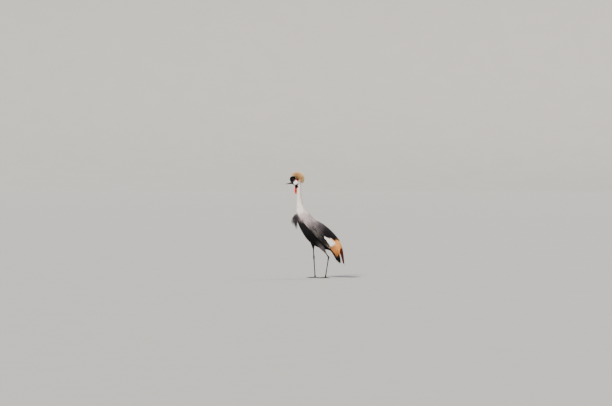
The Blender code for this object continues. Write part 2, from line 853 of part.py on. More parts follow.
def make_claws(leg):
    claws = []
    for toe, length, angle in TOES:
        rows, way = toe_rows(leg, length, angle)
        end, radius, _ = rows[-1]
        stations = []
        for share, size, drop in ((0, 0.8, 0), (0.35, 0.66, 0.05), (0.7, 0.42, 0.3), (1, 0.12, 0.72)):
            place = end + way * (GAP + CLAW_LENGTH * share) - UP * (radius * drop)
            stations.append((*place, radius * size, radius * size, radius * size * 0.8))
        claw = form_object(f"claw_{leg.letter}_{toe}", Form(stations, UP), 0, 3, 4, 8, "claw horn")
        flatten_sole(claw)
        claws.append(claw)
    return claws


def main():
    clear_scene()
    bird = collection("grey crowned crane")
    nodes = [
        make_head(),
        make_upper_bill(),
        bill_half("bill_lower", False),
        eye(LEFT),
        eye(RIGHT),
        make_wattle(),
        make_crest(),
        trunk_piece("neck_upper", NECK_TOP + 0.01, NECK_MIDDLE, "pale grey feathers"),
        make_lower_neck(),
        trunk_piece("torso", NECK_BASE + 0.01, RUMP, "slate feathers"),
        make_tail(),
        *make_wings(),
    ]
    for leg in LEGS:
        nodes += [make_thigh(leg), make_shank(leg), make_tarsus(leg), make_foot(leg)]
        nodes += make_claws(leg)
    for node in nodes:
        for owner in list(node.users_collection):
            owner.objects.unlink(node)
        bird.objects.link(node)
        node.data.shade_smooth()
        node.data.set_sharp_from_angle(angle=math.radians(40))
    reach = [v.co.x for node in nodes for v in node.data.vertices]
    middle = (min(reach) + max(reach)) / 2
    for node in nodes:
        node.data.transform(Matrix.Translation((-middle, 0, 0)))


main()
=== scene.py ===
# %% [markdown]
# A grey crowned crane, life size, dressed feather by feather.
# The packed solids fix the size and the place of the bird, and this script adds its skin,
# feathers, horn and scales. It is a lesson in cells: each one makes one thing of the bird and says
# why that way.

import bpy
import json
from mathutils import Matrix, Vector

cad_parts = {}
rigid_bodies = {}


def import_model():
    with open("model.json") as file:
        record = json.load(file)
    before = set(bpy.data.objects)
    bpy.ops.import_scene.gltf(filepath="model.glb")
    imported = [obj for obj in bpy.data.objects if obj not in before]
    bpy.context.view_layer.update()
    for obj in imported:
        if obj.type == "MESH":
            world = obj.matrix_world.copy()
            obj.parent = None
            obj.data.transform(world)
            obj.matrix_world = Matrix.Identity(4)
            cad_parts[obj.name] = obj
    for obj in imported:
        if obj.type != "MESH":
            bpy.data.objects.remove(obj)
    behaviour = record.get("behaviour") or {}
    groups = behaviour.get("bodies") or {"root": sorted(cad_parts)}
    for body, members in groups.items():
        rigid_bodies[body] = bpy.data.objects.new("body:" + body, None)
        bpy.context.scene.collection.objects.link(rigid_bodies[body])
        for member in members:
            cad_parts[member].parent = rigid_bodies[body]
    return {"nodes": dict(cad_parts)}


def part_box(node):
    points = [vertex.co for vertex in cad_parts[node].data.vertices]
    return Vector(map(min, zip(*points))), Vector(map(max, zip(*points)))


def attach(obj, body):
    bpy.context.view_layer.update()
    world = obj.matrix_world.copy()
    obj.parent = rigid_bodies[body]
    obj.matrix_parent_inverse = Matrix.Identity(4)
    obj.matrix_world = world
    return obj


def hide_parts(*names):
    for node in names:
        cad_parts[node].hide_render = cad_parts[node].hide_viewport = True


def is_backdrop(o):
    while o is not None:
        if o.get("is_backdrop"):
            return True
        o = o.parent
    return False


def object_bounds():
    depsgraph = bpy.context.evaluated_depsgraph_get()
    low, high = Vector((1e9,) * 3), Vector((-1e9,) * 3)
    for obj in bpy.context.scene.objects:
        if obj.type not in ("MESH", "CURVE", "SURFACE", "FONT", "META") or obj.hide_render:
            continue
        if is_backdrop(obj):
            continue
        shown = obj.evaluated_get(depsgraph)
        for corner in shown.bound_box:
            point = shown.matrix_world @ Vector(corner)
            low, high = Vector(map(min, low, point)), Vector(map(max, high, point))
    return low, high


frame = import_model()
cad_low, cad_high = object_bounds()
print("solids", len(frame["nodes"]), "from", tuple(cad_low), "to", tuple(cad_high))

# %% [markdown]
# Blender's own Python tools make the objects. The sums are left to numpy, because a bird wears
# thousands of feathers and one sum over a whole array of them is far quicker than a loop.

# %% Tools
import json
import math
from dataclasses import dataclass

import bmesh
import bpy
import numpy as np
from mathutils import Vector

print("Blender", bpy.app.version_string)

# %% [markdown]
# Lengths are written in millimetres, as a taxidermist would measure the bird, with the middle of
# the left foot at X = 0. The bird looks towards -X and its left side faces -Y. The frame was
# moved along X when it was built, and the place of the left eye says by how much.

# %% Units and sides
MM = 0.001
LEFT = -1
RIGHT = 1
SIDES = (LEFT, RIGHT)
UP = np.array((0.0, 0.0, 1.0))
AHEAD = np.array((-1.0, 0.0, 0.0))
BACKWARD = np.array((1.0, 0.0, 0.6))  # roughly where the bird's back faces
EYE = (-305, 18.9, 957)  # x, distance from the middle plane, z

eye_low, eye_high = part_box("eye_l")
shift = (eye_low.x + eye_high.x) / 2 / MM - EYE[0]


def world(points):
    """Design millimetres to metres in the frame."""
    return (np.asarray(points, float) + (shift, 0, 0)) * MM


def letter(side):
    return "l" if side == LEFT else "r"


print("frame shift", round(shift, 2), "mm")

# %% [markdown]
# A neck, a body or a leg is a soft tube whose section changes. Each is a short list of stations:
# a centre, the depth above it, the depth below it and the half width. A Catmull-Rom curve runs
# through them, so a few rows give a smooth form, and any point on it has an address: how far
# along it lies, and how far round. Feathers are placed by that address later.


# %% Soft forms
END_MARGIN = 0.3  # how far past its end stations a form can be asked for a point, in stations


class Form:
    """Rings along stations (x, y, z, depth up, depth down, half width); angles are degrees.

    Each ring is square to the line of the stations, or all face one way if facing is given.
    """

    def __init__(self, stations, up, grow=0.0, facing=None):
        rows = [row if len(row) == 6 else (row[0], 0, *row[1:]) for row in stations]
        rows = np.array(rows, float)
        before, after = 2 * rows[0] - rows[1], 2 * rows[-1] - rows[-2]
        self.rows = np.vstack([before, rows, after])
        self.last = len(rows) - 1
        self.up = up
        self.grow = grow
        self.facing = facing

    def at(self, t):
        t = np.clip(np.asarray(t, float), -END_MARGIN, self.last + END_MARGIN)
        i = np.clip(np.floor(t).astype(int), 0, self.last - 1)
        f = (t - i)[..., None]
        a, b, c, d = (self.rows[i + k] for k in range(4))
        bend, twist = 2 * a - 5 * b + 4 * c - d, 3 * (b - c) + d - a
        return 0.5 * (2 * b + (c - a) * f + bend * f**2 + twist * f**3)

    def section(self, t):
        row = self.at(t)
        ahead = unit(self.at(t + 0.01)[..., :3] - self.at(t - 0.01)[..., :3])
        if self.facing is not None:
            ahead = np.broadcast_to(self.facing, ahead.shape)
        up = unit(self.up - ahead * dot(ahead, self.up))
        side = np.cross(ahead, up)
        side = np.where(side[..., 1:2] > 0, -side, side)
        return row, ahead, up, side

    def point(self, t, angle, lift=0.0):
        t, angle, lift = np.broadcast_arrays(np.asarray(t, float), angle, lift)
        row, _, up, side = self.section(t)
        c, s = np.cos(np.radians(angle)), np.sin(np.radians(angle))
        high = (np.where(c > 0, row[..., 3], row[..., 4]) + self.grow + lift) * c
        wide = (row[..., 5] + self.grow + lift) * s
        return row[..., :3] + up * high[..., None] + side * wide[..., None]

    def normal(self, t, angle):
        t, angle = np.broadcast_arrays(np.asarray(t, float), angle)
        along = self.point(t + 0.02, angle) - self.point(t - 0.02, angle)
        around = self.point(t, angle + 1) - self.point(t, angle - 1)
        normal = unit(np.cross(along, around))
        outward = self.point(t, angle) - self.at(t)[..., :3]
        return normal * np.sign(dot(normal, outward))

    def speed(self, t, angle):
        """Millimetres along the surface for one station."""
        return length_of(self.point(t + 0.1, angle) - self.point(t - 0.1, angle)) / 0.2

    def grid(self, rings, sides):
        """A column of stations and a row of degrees, which together cover the whole form."""
        return np.linspace(0, self.last, rings)[:, None], 360 * np.arange(sides)[None, :] / sides


def dot(a, b):
    return np.sum(a * b, axis=-1, keepdims=True)


def length_of(a):
    return np.sqrt(np.sum(a * a, axis=-1))


def unit(a):
    return a / np.maximum(length_of(a)[..., None], 1e-9)


def mix(a, b, share):
    return a + (b - a) * share


def ramp(x, *pairs):
    """A number that follows x through (x, value) pairs."""
    return np.interp(x, [p[0] for p in pairs], [p[1] for p in pairs])


rod = Form([(0, 0, 5, 5, 5), (10, 0, 5, 5, 5)], UP)
print("a rod with two stations 10 mm apart measures", round(float(rod.speed(0.5, 0.0)), 3), "mm")

# %% [markdown]
# The body is four forms. The trunk runs from the throat down the neck to the rump, the cloak is
# the surface that the folded wings lie on, and the head and the tail are short forms of their own.
# They could be carved by hand, but a feather needs an address on the form that it grows from, and
# only a form that follows a rule has one.

# %% Driving sizes of the bird
# x, z, depth above, depth below, half width
TRUNK = [
    (-262, 930, 20, 20, 18),
    (-258, 893, 19, 19, 17.5),
    (-257, 860, 18.5, 18.5, 17.5),
    (-257.5, 828, 20, 20, 18.5),
    (-257.5, 796, 22, 22, 20.5),
    (-255, 760, 26, 26, 24),
    (-251.5, 725, 31, 31, 28),
    (-247, 689, 38, 38, 34),
    (-237, 650, 50, 50, 43),
    (-213, 597, 65, 74, 56),
    (-163, 525, 70, 95, 68),
    (-100, 455, 92, 111, 77),
    (-40, 395, 98, 104, 78),
    (15, 345, 84, 76, 66),
    (58, 303, 54, 42, 44),
    (85, 272, 26, 20, 22),
]
CLOAK = [
    (-215, 590, 70, 78, 66),
    (-160, 520, 85, 92, 86),
    (-100, 455, 108, 104, 99),
    (-40, 395, 115, 98, 104),
    (20, 340, 110, 80, 97),
    (75, 280, 95, 50, 80),
    (115, 215, 62, 46, 62),
    (140, 150, 36, 36, 46),
    (152, 90, 30, 30, 38),
]
TAIL = [
    (85, 272, 26, 20, 22),
    (101, 247, 17, 14, 27),
    (118, 205, 8, 8, 30),
    (130, 165, 5, 5, 31),
    (138, 132, 3, 3, 29),
]
# x, top, underside, half width
HEAD = [
    (-347.5, 978, 966, 5),
    (-344, 986, 951, 12),
    (-336, 993, 939, 17),
    (-322, 997.5, 922, 21),
    (-308, 996, 912, 23.5),
    (-294, 989, 905, 25),
    (-280, 980, 901, 24.5),
    (-266, 970, 902, 22),
    (-253, 957, 908, 17.5),
    (-244, 944, 918, 11),
    (-240.5, 936, 926, 5),
]

trunk = Form(TRUNK, BACKWARD)
cloak = Form(CLOAK, BACKWARD)
tail = Form(TAIL, BACKWARD)
head_rows = []
for x, top, low, wide in HEAD:
    middle, half = (top + low) / 2, (top - low) / 2
    head_rows.append((x, 0, middle, half, half, wide))
head = Form(head_rows, UP, facing=-AHEAD)
print("stations of trunk, cloak, tail and head", len(TRUNK), len(CLOAK), len(TAIL), len(HEAD))

# %% [markdown]
# Every mesh here is made from arrays: points in millimetres and the faces between them. A loft
# joins rings of points and closes both ends with a fan round a middle point, so no pole is open.


# %% Meshes from arrays
def linked(name, data):
    """A new object in the scene."""
    obj = bpy.data.objects.new(name, data)
    bpy.context.scene.collection.objects.link(obj)
    return obj


def mesh_object(name, points, faces, smooth=45):
    """A smooth mesh object from design points, with creases past an angle."""
    mesh = bpy.data.meshes.new(name)
    mesh.from_pydata(world(points).tolist(), [], faces)
    obj = linked(name, mesh)
    mesh.shade_smooth()
    mesh.set_sharp_from_angle(angle=math.radians(smooth))
    return obj


def outward(obj):
    """Turns the faces of a closed mesh outwards."""
    work = bmesh.new()
    work.from_mesh(obj.data)
    bmesh.ops.recalc_face_normals(work, faces=work.faces)
    if work.calc_volume(signed=True) < 0:
        bmesh.ops.reverse_faces(work, faces=work.faces)
    work.to_mesh(obj.data)
    work.free()
    return obj


def loft_arrays(rings):
    """Points and faces of a closed skin over an array of rings (rings, sides, 3)."""
    count, sides, _ = rings.shape
    points = np.vstack([rings.reshape(-1, 3), rings[0].mean(0), rings[-1].mean(0)])
    first, last = count * sides, count * sides + 1
    i = np.arange(sides)
    j = (i + 1) % sides
    faces = []
    for r in range(count - 1):
        a, b = r * sides, (r + 1) * sides
        faces += np.stack([a + i, a + j, b + j, b + i], 1).tolist()
    end = (count - 1) * sides
    faces += [[first, b, a] for a, b in zip(i.tolist(), j.tolist())]
    faces += [[last, end + a, end + b] for a, b in zip(i.tolist(), j.tolist())]
    return points, faces


def loft(name, rings, smooth=60):
    return outward(mesh_object(name, *loft_arrays(rings), smooth))


def form_rings(form, places, sides, lift=0.0):
    t = np.asarray(places, float)[:, None]
    angle = 360 * (np.arange(sides) + 0.5) / sides
    return form.point(t, angle[None, :], lift)


print("a loft of 3 rings with 8 sides has", len(loft_arrays(np.zeros((3, 8, 3)))[1]), "faces")

# %% [markdown]
# Head, neck and thighs of the real bird are one skin. Lofts that only cross would show a seam
# where they meet, so they are fused with a Boolean union. Its result is copied out as a plain
# mesh, with no modifier left on it, because that is what a finished piece has to be.


# %% One surface from many
def fuse(name, pieces):
    """Joins closed meshes into one surface with a Boolean union."""
    base, others = pieces[0], pieces[1:]
    group = bpy.data.collections.new(name + " pieces")
    bpy.context.scene.collection.children.link(group)
    for piece in others:
        bpy.context.scene.collection.objects.unlink(piece)
        group.objects.link(piece)
    union = base.modifiers.new("union", "BOOLEAN")
    union.operation = "UNION"
    union.solver = "MANIFOLD"
    union.operand_type = "COLLECTION"
    union.collection = group
    obj = plain_copy(base, name)
    for piece in pieces:
        bpy.data.objects.remove(piece)
    bpy.data.collections.remove(group)
    print(name, "is fused from", len(pieces), "pieces")
    return obj


def plain_copy(obj, name):
    """A new object with the mesh that an object has after its modifiers."""
    graph = bpy.context.evaluated_depsgraph_get()
    mesh = bpy.data.meshes.new_from_object(obj.evaluated_get(graph))
    mesh.name = name
    return linked(name, mesh)


# %% [markdown]
# The markings of a bird change from feather to feather. They could be painted as pictures, but it
# is simpler to store them on the mesh: one colour for each vertex and one place on a map for each
# corner, which a material then reads by name.


# %% Marks on a mesh
def points_of(obj):
    """Design millimetres of a mesh's vertices."""
    flat = np.zeros(len(obj.data.vertices) * 3)
    obj.data.vertices.foreach_get("co", flat)
    return flat.reshape(-1, 3) / MM - (shift, 0, 0)


def paint(obj, name, colours):
    """Stores one colour for each vertex."""
    data = np.ones((len(obj.data.vertices), 4), np.float32)
    data[:, :3] = colours
    layer = obj.data.color_attributes.new(name, "FLOAT_COLOR", "POINT")
    layer.data.foreach_set("color", data.ravel())


def map_corners(obj, name, places):
    """Stores a UV map from one (u, v) for each vertex."""
    corners = np.zeros(len(obj.data.loops), np.int64)
    obj.data.loops.foreach_get("vertex_index", corners)
    layer = obj.data.uv_layers.new(name=name)
    layer.data.foreach_set("uv", np.asarray(places, np.float32)[corners].ravel())


def triangles(obj):
    obj.data.calc_loop_triangles()
    return len(obj.data.loop_triangles)


def finish_piece(obj, material, slot, *nodes):
    """Gives a piece its material, hangs it on the root body and hides the solids that it replaces."""
    obj.data.materials.clear()
    obj.data.materials.append(material)
    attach(obj, "root")
    if nodes:
        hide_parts(*nodes)
    print(obj.name, triangles(obj), "triangles")
    return obj


# %% [markdown]
# Colours are picked as screen values from 0 to 255 and turned into the linear light that
# the shader works in. Feathers carry two of them: the tint of the vane, and the fringe that shows
# along its edges and at its tip. Rules mix a few named colours, so a change of one is seen
# wherever the bird wears it.


# %% Palette
def tone(red, green, blue):
    """Linear colour from screen values."""
    c = np.array((red, green, blue)) / 255
    return np.where(c <= 0.04045, c / 12.92, ((c + 0.055) / 1.055) ** 2.4)


PEARL = tone(238, 228, 220)
ASH = tone(160, 148, 149)
SMOKE = tone(84, 76, 81)
SLATE = tone(20, 15, 20)
CHARCOAL = tone(19, 19, 20)
BLACK = tone(4, 4, 5)
WHITE = tone(250, 246, 240)
OLIVE = tone(112, 100, 80)
GOLD = tone(244, 180, 104)
AMBER = tone(236, 154, 70)
RUST = tone(128, 58, 24)
CHESTNUT = tone(80, 20, 12)
STRAW = tone(255, 218, 160)
PEACH = tone(255, 192, 126)
CHEEK = tone(242, 236, 234)
ROSE = tone(206, 84, 96)
CRIMSON = tone(186, 8, 14)
CORAL = tone(226, 84, 60)
HORN = tone(32, 30, 33)
HORN_TIP = tone(74, 66, 60)
SCALE = tone(20, 18, 19)
SCALE_WORN = tone(54, 49, 48)
IRIS = tone(146, 164, 176)
UMBER = tone(96, 66, 40)


def all_of(colour, count):
    """The same colour for every one of many points or feathers."""
    return np.tile(colour, (count, 1))


def blend_colours(a, b, share):
    """Mixes two colours by a share for each point."""
    return a + (b - a) * np.clip(np.asarray(share, float), 0, 1)[..., None]


def step(x, low, high):
    """0 below low, 1 above high, smooth between."""
    s = np.clip((np.asarray(x, float) - low) / (high - low), 0, 1)
    return s * s * (3 - 2 * s)


print("slate in linear light", SLATE.round(4), "and gold", GOLD.round(4))

# %% [markdown]
# Materials are node trees, and building them by hand in Python gets wordy. This small helper
# adds a node, feeds its inputs with numbers or links and hands back the output, so each finish
# below reads like a recipe.


# %% Recipe helper for materials
class Recipe:
    """A node tree, grown by one call a node."""

    def feed(self, socket, value):
        if isinstance(value, bpy.types.NodeSocket):
            self.tree.links.new(value, socket)
        else:
            socket.default_value = value

    def add(self, kind, inputs=(), out=0, **settings):
        node = self.tree.nodes.new(kind)
        for key, value in settings.items():
            setattr(node, key, value)
        for key, value in dict(inputs).items():
            self.feed(node.inputs[key], value)
        return node.outputs[out]


class Finish(Recipe):
    """A material: nodes in front of one shader."""

    def __init__(self, name):
        self.material = bpy.data.materials.new(name)
        self.material.use_nodes = True
        self.tree = self.material.node_tree
        self.shader = self.tree.nodes["Principled BSDF"]

    def math(self, operation, *values):
        return self.add("ShaderNodeMath", dict(enumerate(values)), operation=operation)

    def remap(self, value, low, high, start=0.0, end=1.0):
        sockets = {"Value": value, "From Min": low, "From Max": high, "To Min": start, "To Max": end}
        return self.add("ShaderNodeMapRange", sockets, interpolation_type="SMOOTHSTEP")

    def blend(self, share, a, b, mode="MIX"):
        node = self.tree.nodes.new("ShaderNodeMix")
        node.data_type = "RGBA"
        node.blend_type = mode
        for index, value in ((0, share), (6, a), (7, b)):
            self.feed(node.inputs[index], value)
        return node.outputs[2]

    def place(self, scale=(1.0, 1.0, 1.0)):
        """Object coordinates, stretched."""
        where = self.add("ShaderNodeTexCoord", out="Object")
        return self.add("ShaderNodeMapping", {"Vector": where, "Scale": scale})

    def noise(self, scale, where, detail=3.0):
        return self.add("ShaderNodeTexNoise", {"Vector": where, "Scale": scale, "Detail": detail})

    def cells(self, scale, where, feature="F1"):
        return self.add("ShaderNodeTexVoronoi", {"Vector": where, "Scale": scale}, feature=feature)

    def attribute(self, name):
        return self.add("ShaderNodeAttribute", attribute_name=name, out="Color")

    def bump(self, height, distance, strength=1.0):
        sockets = {"Height": height, "Distance": distance, "Strength": strength}
        self.feed(self.shader.inputs["Normal"], self.add("ShaderNodeBump", sockets))

    def surface(self, colour, roughness, **sockets):
        self.feed(self.shader.inputs["Base Color"], colour)
        self.feed(self.shader.inputs["Roughness"], roughness)
        for key, value in sockets.items():
            self.shader.inputs[key.replace("_", " ")].default_value = value
        return self.material


print("steps of a recipe:", [word for word in vars(Finish) if not word.startswith("_")])

# %% [markdown]
# A feather is a shaft with barbs that slant away from it to both sides. The mesh gives its
# outline and its raised shaft. The material draws the rest along the feather's own UV map, where
# u runs across it and v from root to tip: slanting barbs, a shaft line and the fringe.


# %% Feather finish
BARB_SLANT = 0.14  # how far a barb runs towards the tip on its way to the edge
BARB_SHADES = (0.82, 1.05)  # light between two barbs and on them
BLOTCHES = (0.86, 1.12)  # darkest and lightest patch of a worn coat
TIP_START = 0.86  # where the fringe of the tip begins


def feather_finish(name, barbs=70.0, fringe=(0.6, 0.95), shaft=0.8, roughness=0.68,
                   sheen=0.0, relief=0.0003):
    """Barbs in a feather, where its fringe starts and is full, and how dark its shaft is."""
    f = Finish(name)
    split = f.add("ShaderNodeSeparateXYZ", {0: f.add("ShaderNodeUVMap", uv_map="Feather")})
    across = f.math("ABSOLUTE", f.math("MULTIPLY_ADD", split, 2.0, -1.0))
    along = split.node.outputs["Y"]
    wander = f.noise(150.0, f.place(), 2.0)
    wavy = f.math("ADD", across, f.remap(wander, 0.3, 0.7, -0.1, 0.1))
    edge = f.remap(wavy, *fringe)
    tip = f.remap(f.math("ADD", along, f.remap(wander, 0.3, 0.7, -0.05, 0.05)), TIP_START, 1.0)
    colour = f.blend(f.math("MAXIMUM", edge, tip), f.attribute("tint"), f.attribute("fringe"))
    slant = f.math("SUBTRACT", along, f.math("MULTIPLY", across, BARB_SLANT))
    wave = f.math("SINE", f.math("MULTIPLY", slant, barbs * 2 * math.pi))
    colour = f.blend(1.0, colour, f.remap(wave, -1.0, 1.0, *BARB_SHADES), "MULTIPLY")
    patches = f.remap(f.noise(34.0, f.place()), 0.3, 0.7, *BLOTCHES)
    colour = f.blend(1.0, colour, patches, "MULTIPLY")
    colour = f.blend(1.0, colour, f.remap(across, 0.02, 0.1, shaft, 1.0), "MULTIPLY")
    f.bump(wave, relief, 0.6)
    return f.surface(colour, roughness, Sheen_Weight=sheen, Sheen_Roughness=0.5, Specular_IOR_Level=0.12)


soft_feather = feather_finish("soft feather vanes", barbs=46.0)
velvet_feather = feather_finish("velvet head feathers", barbs=12.0, roughness=0.85, relief=0.0001)
streaky_feather = feather_finish("streaky lanceolate vanes", barbs=80.0, fringe=(0.8, 1.05))
edged_feather = feather_finish("dark plumes with pale edges", barbs=90.0, fringe=(0.62, 0.9))
quill_feather = feather_finish("glossy quill vanes", barbs=130.0, fringe=(0.8, 1.0), roughness=0.45)
plume_feather = feather_finish("loose gold filaments", barbs=20.0, fringe=(0.5, 0.95), sheen=0.1)
print("six feather finishes, the last is", plume_feather.name)

# %% [markdown]
# The same markings colour the skin and the feathers that grow from it, so no pale skin shows
# between dark feathers. On the trunk they follow its own address: how far along it a point lies,
# and how far round from the back. Round the underside they carry painted shade as well: the
# breast and belly are darker than the bird's own grey.


# %% Markings and painted shade of neck and body
def trunk_colours(t, angle):
    """Tint and fringe on the trunk: pale neck, ash shoulders, black throat, breast and belly, the last two
    partly painted shade.
    """
    low = (1 - np.cos(np.radians(angle))) / 2  # 0 on the back, 1 on the belly
    pale = blend_colours(PEARL, ASH, step(t, 6.4, 9.0))
    back = blend_colours(pale, SMOKE, step(t, 9.2, 10.6))
    # partly painted shade: towards the underside the tint turns charcoal, and black on the belly, darker than
    # the body's own grey
    dark = blend_colours(pale, CHARCOAL, step(t + 1.3 * low, 9.0, 10.3))
    tint = blend_colours(back, dark, step(low, 0.3, 0.6))
    tint = blend_colours(tint, BLACK, step(t, 9.6, 10.8) * step(low, 0.4, 0.7))
    tint = blend_colours(tint, BLACK, step(low, 0.55, 0.85) * (1 - step(t, 0.5, 1.2)))
    fringe = blend_colours(tint, tint * 1.35 + 0.002, step(t, 3, 7))
    return tint, fringe


back_and_belly = trunk_colours(np.array([10.0, 10.0]), np.array([0.0, 180.0]))[0]
print("tints of back and belly at station 10:", back_and_belly.round(3).tolist())

# %% [markdown]
# The head's markings are zones of the side view: a black velvet cap, a bare white cheek shaped
# like a leaf, a red patch above it and a dark front. Ovals give them, because their borders on
# the real bird are curves that no ring or row of the mesh follows.

# %% Markings of the head
CAP_CENTRE = (-322, 969)  # x, z of the velvet cushion on the forehead
CAP_RADIUS = 29.0
CHEEK_CENTRE = (-294, 939)
CHEEK_HALF = (25, 27)
CHEEK_TILT = -12  # degrees
RED_CENTRE = (-281, 961.5)  # bare red skin over the rear of the cheek
RED_HALF = (14, 6.5)
RED_TILT = -40


def oval(points, centre, half, tilt, power):
    """Below 1 inside a tilted oval of the side view; a power under 2 makes it a diamond."""
    turn = math.radians(tilt)
    x, z = points[:, 0] - centre[0], points[:, 2] - centre[1]
    u = (x * math.cos(turn) + z * math.sin(turn)) / half[0]
    v = (z * math.cos(turn) - x * math.sin(turn)) / half[1]
    return np.abs(u) ** power + np.abs(v) ** power


def head_zones(points):
    """Shares of velvet cap, bare white cheek, bare red skin and black chin at design points."""
    x, y, z = points[:, 0], np.abs(points[:, 1]), points[:, 2]
    cap = 1 - step(oval(points, CAP_CENTRE, (CAP_RADIUS, CAP_RADIUS), 0, 2), 0.94, 1.02)
    flank = step(y, 5, 8) * (1 - cap)
    cheek = (1 - step(oval(points, CHEEK_CENTRE, CHEEK_HALF, CHEEK_TILT, 1.35), 0.95, 1.02)) * flank
    red = (1 - step(oval(points, RED_CENTRE, RED_HALF, RED_TILT, 2), 0.8, 1.1)) * flank
    below = 1 - step(z - 0.55 * (x + 290), 918, 928)
    front = 1 - step(x, -306, -297)
    chin = (1 - cheek) * np.maximum(below * (1 - step(x, -284, -275)), front)
    return cap, cheek, red, chin


def head_colours(points):
    cap, cheek, red, chin = head_zones(points)
    x, z = points[:, 0], points[:, 2]
    nape = np.maximum(step(x, -274, -260), 1 - step(z, 905, 925))
    tint = blend_colours(all_of(SMOKE, len(points)), PEARL, 0.85 * nape)
    tint = blend_colours(tint, BLACK, np.maximum(cap, chin))
    tint = blend_colours(tint, CHEEK, cheek)
    tint = blend_colours(tint, ROSE, cheek * step(z, 944, 962) * 0.5)
    return blend_colours(tint, CRIMSON, red)


print("cap, cheek, red skin and chin at the eye", np.round(head_zones(np.array([EYE])), 2).ravel())

# %% [markdown]
# The two legs differ: the left one stands a step behind the right one and shows more of its
# shank. A class keeps the few points that one leg is built on, so that thigh, shank, foot, claws
# and plates all follow when one of them is changed.


# %% Two legs
# how far the points of a leg lie from the middle plane
KNEE_ASIDE = 44.0
ANKLE_ASIDE = 41.0
FOOT_ASIDE = 40.0
FOOT_HEIGHT = 11.0  # of the point where tarsus and toes meet


def limb_form(rows):
    return Form([(*centre, fore, fore, wide) for centre, fore, wide in rows], AHEAD)


class Leg:
    """The points that one leg is built on."""

    def __init__(self, side, knee, ankle, foot, feather_end):
        self.side = side
        self.knee = np.array((knee[0], side * KNEE_ASIDE, knee[1]))
        self.ankle = np.array((ankle[0], side * ANKLE_ASIDE, ankle[1]))
        self.foot = np.array((foot, side * FOOT_ASIDE, FOOT_HEIGHT))
        self.feather_end = feather_end

    def thigh(self):
        """The feathered part, from inside the belly down to feather_end of the way to the ankle."""
        end = self.feather_end
        shares = (0.02, 0.2, 0.45 * end, 0.68 * end, 0.86 * end, end)
        radii = ((24, 12), (31, 23), (31, 25), (23, 19), (13.5, 12), (7.5, 7.5))
        rows = [(mix(self.knee, self.ankle, share), fore, wide) for share, (fore, wide) in zip(shares, radii)]
        rows[0][0][1] *= 0.6  # the first station lies nearer the middle of the body
        return limb_form(rows)


# side, knee x and z, ankle x and z, foot x, where the feathers end
LEGS = [
    Leg(LEFT, (-103, 408), (30, 205), 0, 0.78),
    Leg(RIGHT, (-128, 448), (-114, 208), -102, 0.66),
]
for leg in LEGS:
    print("tarsus", letter(leg.side), "is", round(float(length_of(leg.foot - leg.ankle)), 1), "mm long")

# %% [markdown]
# The skin lies a few millimetres inside the solids, which is the depth of the coat. The head is
# the one place where it shows, so its cap is drawn in under the velvet, the cheeks stand flush
# and each eye gets a hollow.

# %% Head under its feathers
COAT_DEPTH = 6.0
FACE_DEPTH = 1.6
CAP_DEPTH = 2.6
CHEEK_RISE = 1.1
CHEEK_RIM = 0.7  # the raised edge of the bare skin
EYE_HOLLOW = 1.6
EYE_HOLLOW_RADIUS = 15.0
HEAD_MIDDLE = np.array((-294.0, 0.0, 950.0))


def head_arrays():
    """The head: a drawn-in cap, cheeks that stand flush, and a hollow for each eye."""
    points, faces = loft_arrays(form_rings(head, np.linspace(0, len(HEAD) - 1, 150), 140, -FACE_DEPTH))
    cap, cheek, red, _ = head_zones(points)
    out = unit((points - HEAD_MIDDLE) * (0.35, 1, 0.5))
    rim = cheek * (1 - cheek) * 4
    lift = CHEEK_RISE * np.maximum(cheek, red) + CHEEK_RIM * rim - (CAP_DEPTH - FACE_DEPTH) * cap
    for side in SIDES:
        near = 1 - length_of(points - (EYE[0], side * EYE[1], EYE[2])) / EYE_HOLLOW_RADIUS
        lift -= EYE_HOLLOW * step(near, 0.0, 0.6)
    return points + out * lift[:, None], faces


print("the head is a mesh of", len(head_arrays()[0]), "points")

# %% [markdown]
# Under the feathers of a folded wing is a thin curved plate, the arm with its skin. It is a patch
# of the cloak, made a few millimetres thick and closed at its rim, so that nothing shows through
# a gap between two feathers.

# %% Wing cores
WING_CORE_DEPTH = 11.0
WING_CORE_THICKNESS = 4


def wing_core(side):
    t = np.linspace(0.15, 5.6, 44)[:, None]
    angle = side * -1 * np.linspace(5, 104, 26)[None, :]
    outer = cloak.point(t, angle, -WING_CORE_DEPTH)
    inner = cloak.point(t, angle, -WING_CORE_DEPTH - WING_CORE_THICKNESS)
    rows, columns = outer.shape[:2]
    points = np.vstack([outer.reshape(-1, 3), inner.reshape(-1, 3)])
    index = np.arange(rows * columns).reshape(rows, columns)
    under = index + rows * columns
    top = np.stack([index[:-1, :-1], index[:-1, 1:], index[1:, 1:], index[1:, :-1]], -1).reshape(-1, 4)
    low = np.stack([under[:-1, :-1], under[1:, :-1], under[1:, 1:], under[:-1, 1:]], -1).reshape(-1, 4)
    faces = top.tolist() + low.tolist()
    loop = np.concatenate([index[0, :-1], index[:-1, -1], index[-1, :0:-1], index[:0:-1, 0]])
    for a, b in zip(loop, np.roll(loop, -1)):
        faces.append([int(b), int(a), int(a + rows * columns), int(b + rows * columns)])
    print("wing core", letter(side), len(faces), "faces")
    return outward(mesh_object("wing core", points, faces, 60))


# %% [markdown]
# The skin is one closed surface: lofts of the trunk, both thighs and the root of the tail, the
# head and the two wing cores, all fused. The finished surface has no address of its own, so each
# of its points looks up the nearest place on the trunk and takes the colour that the rule gives
# there.


# %% Skin
BLOCK = 4000  # points looked up at a time, which keeps the table of gaps small


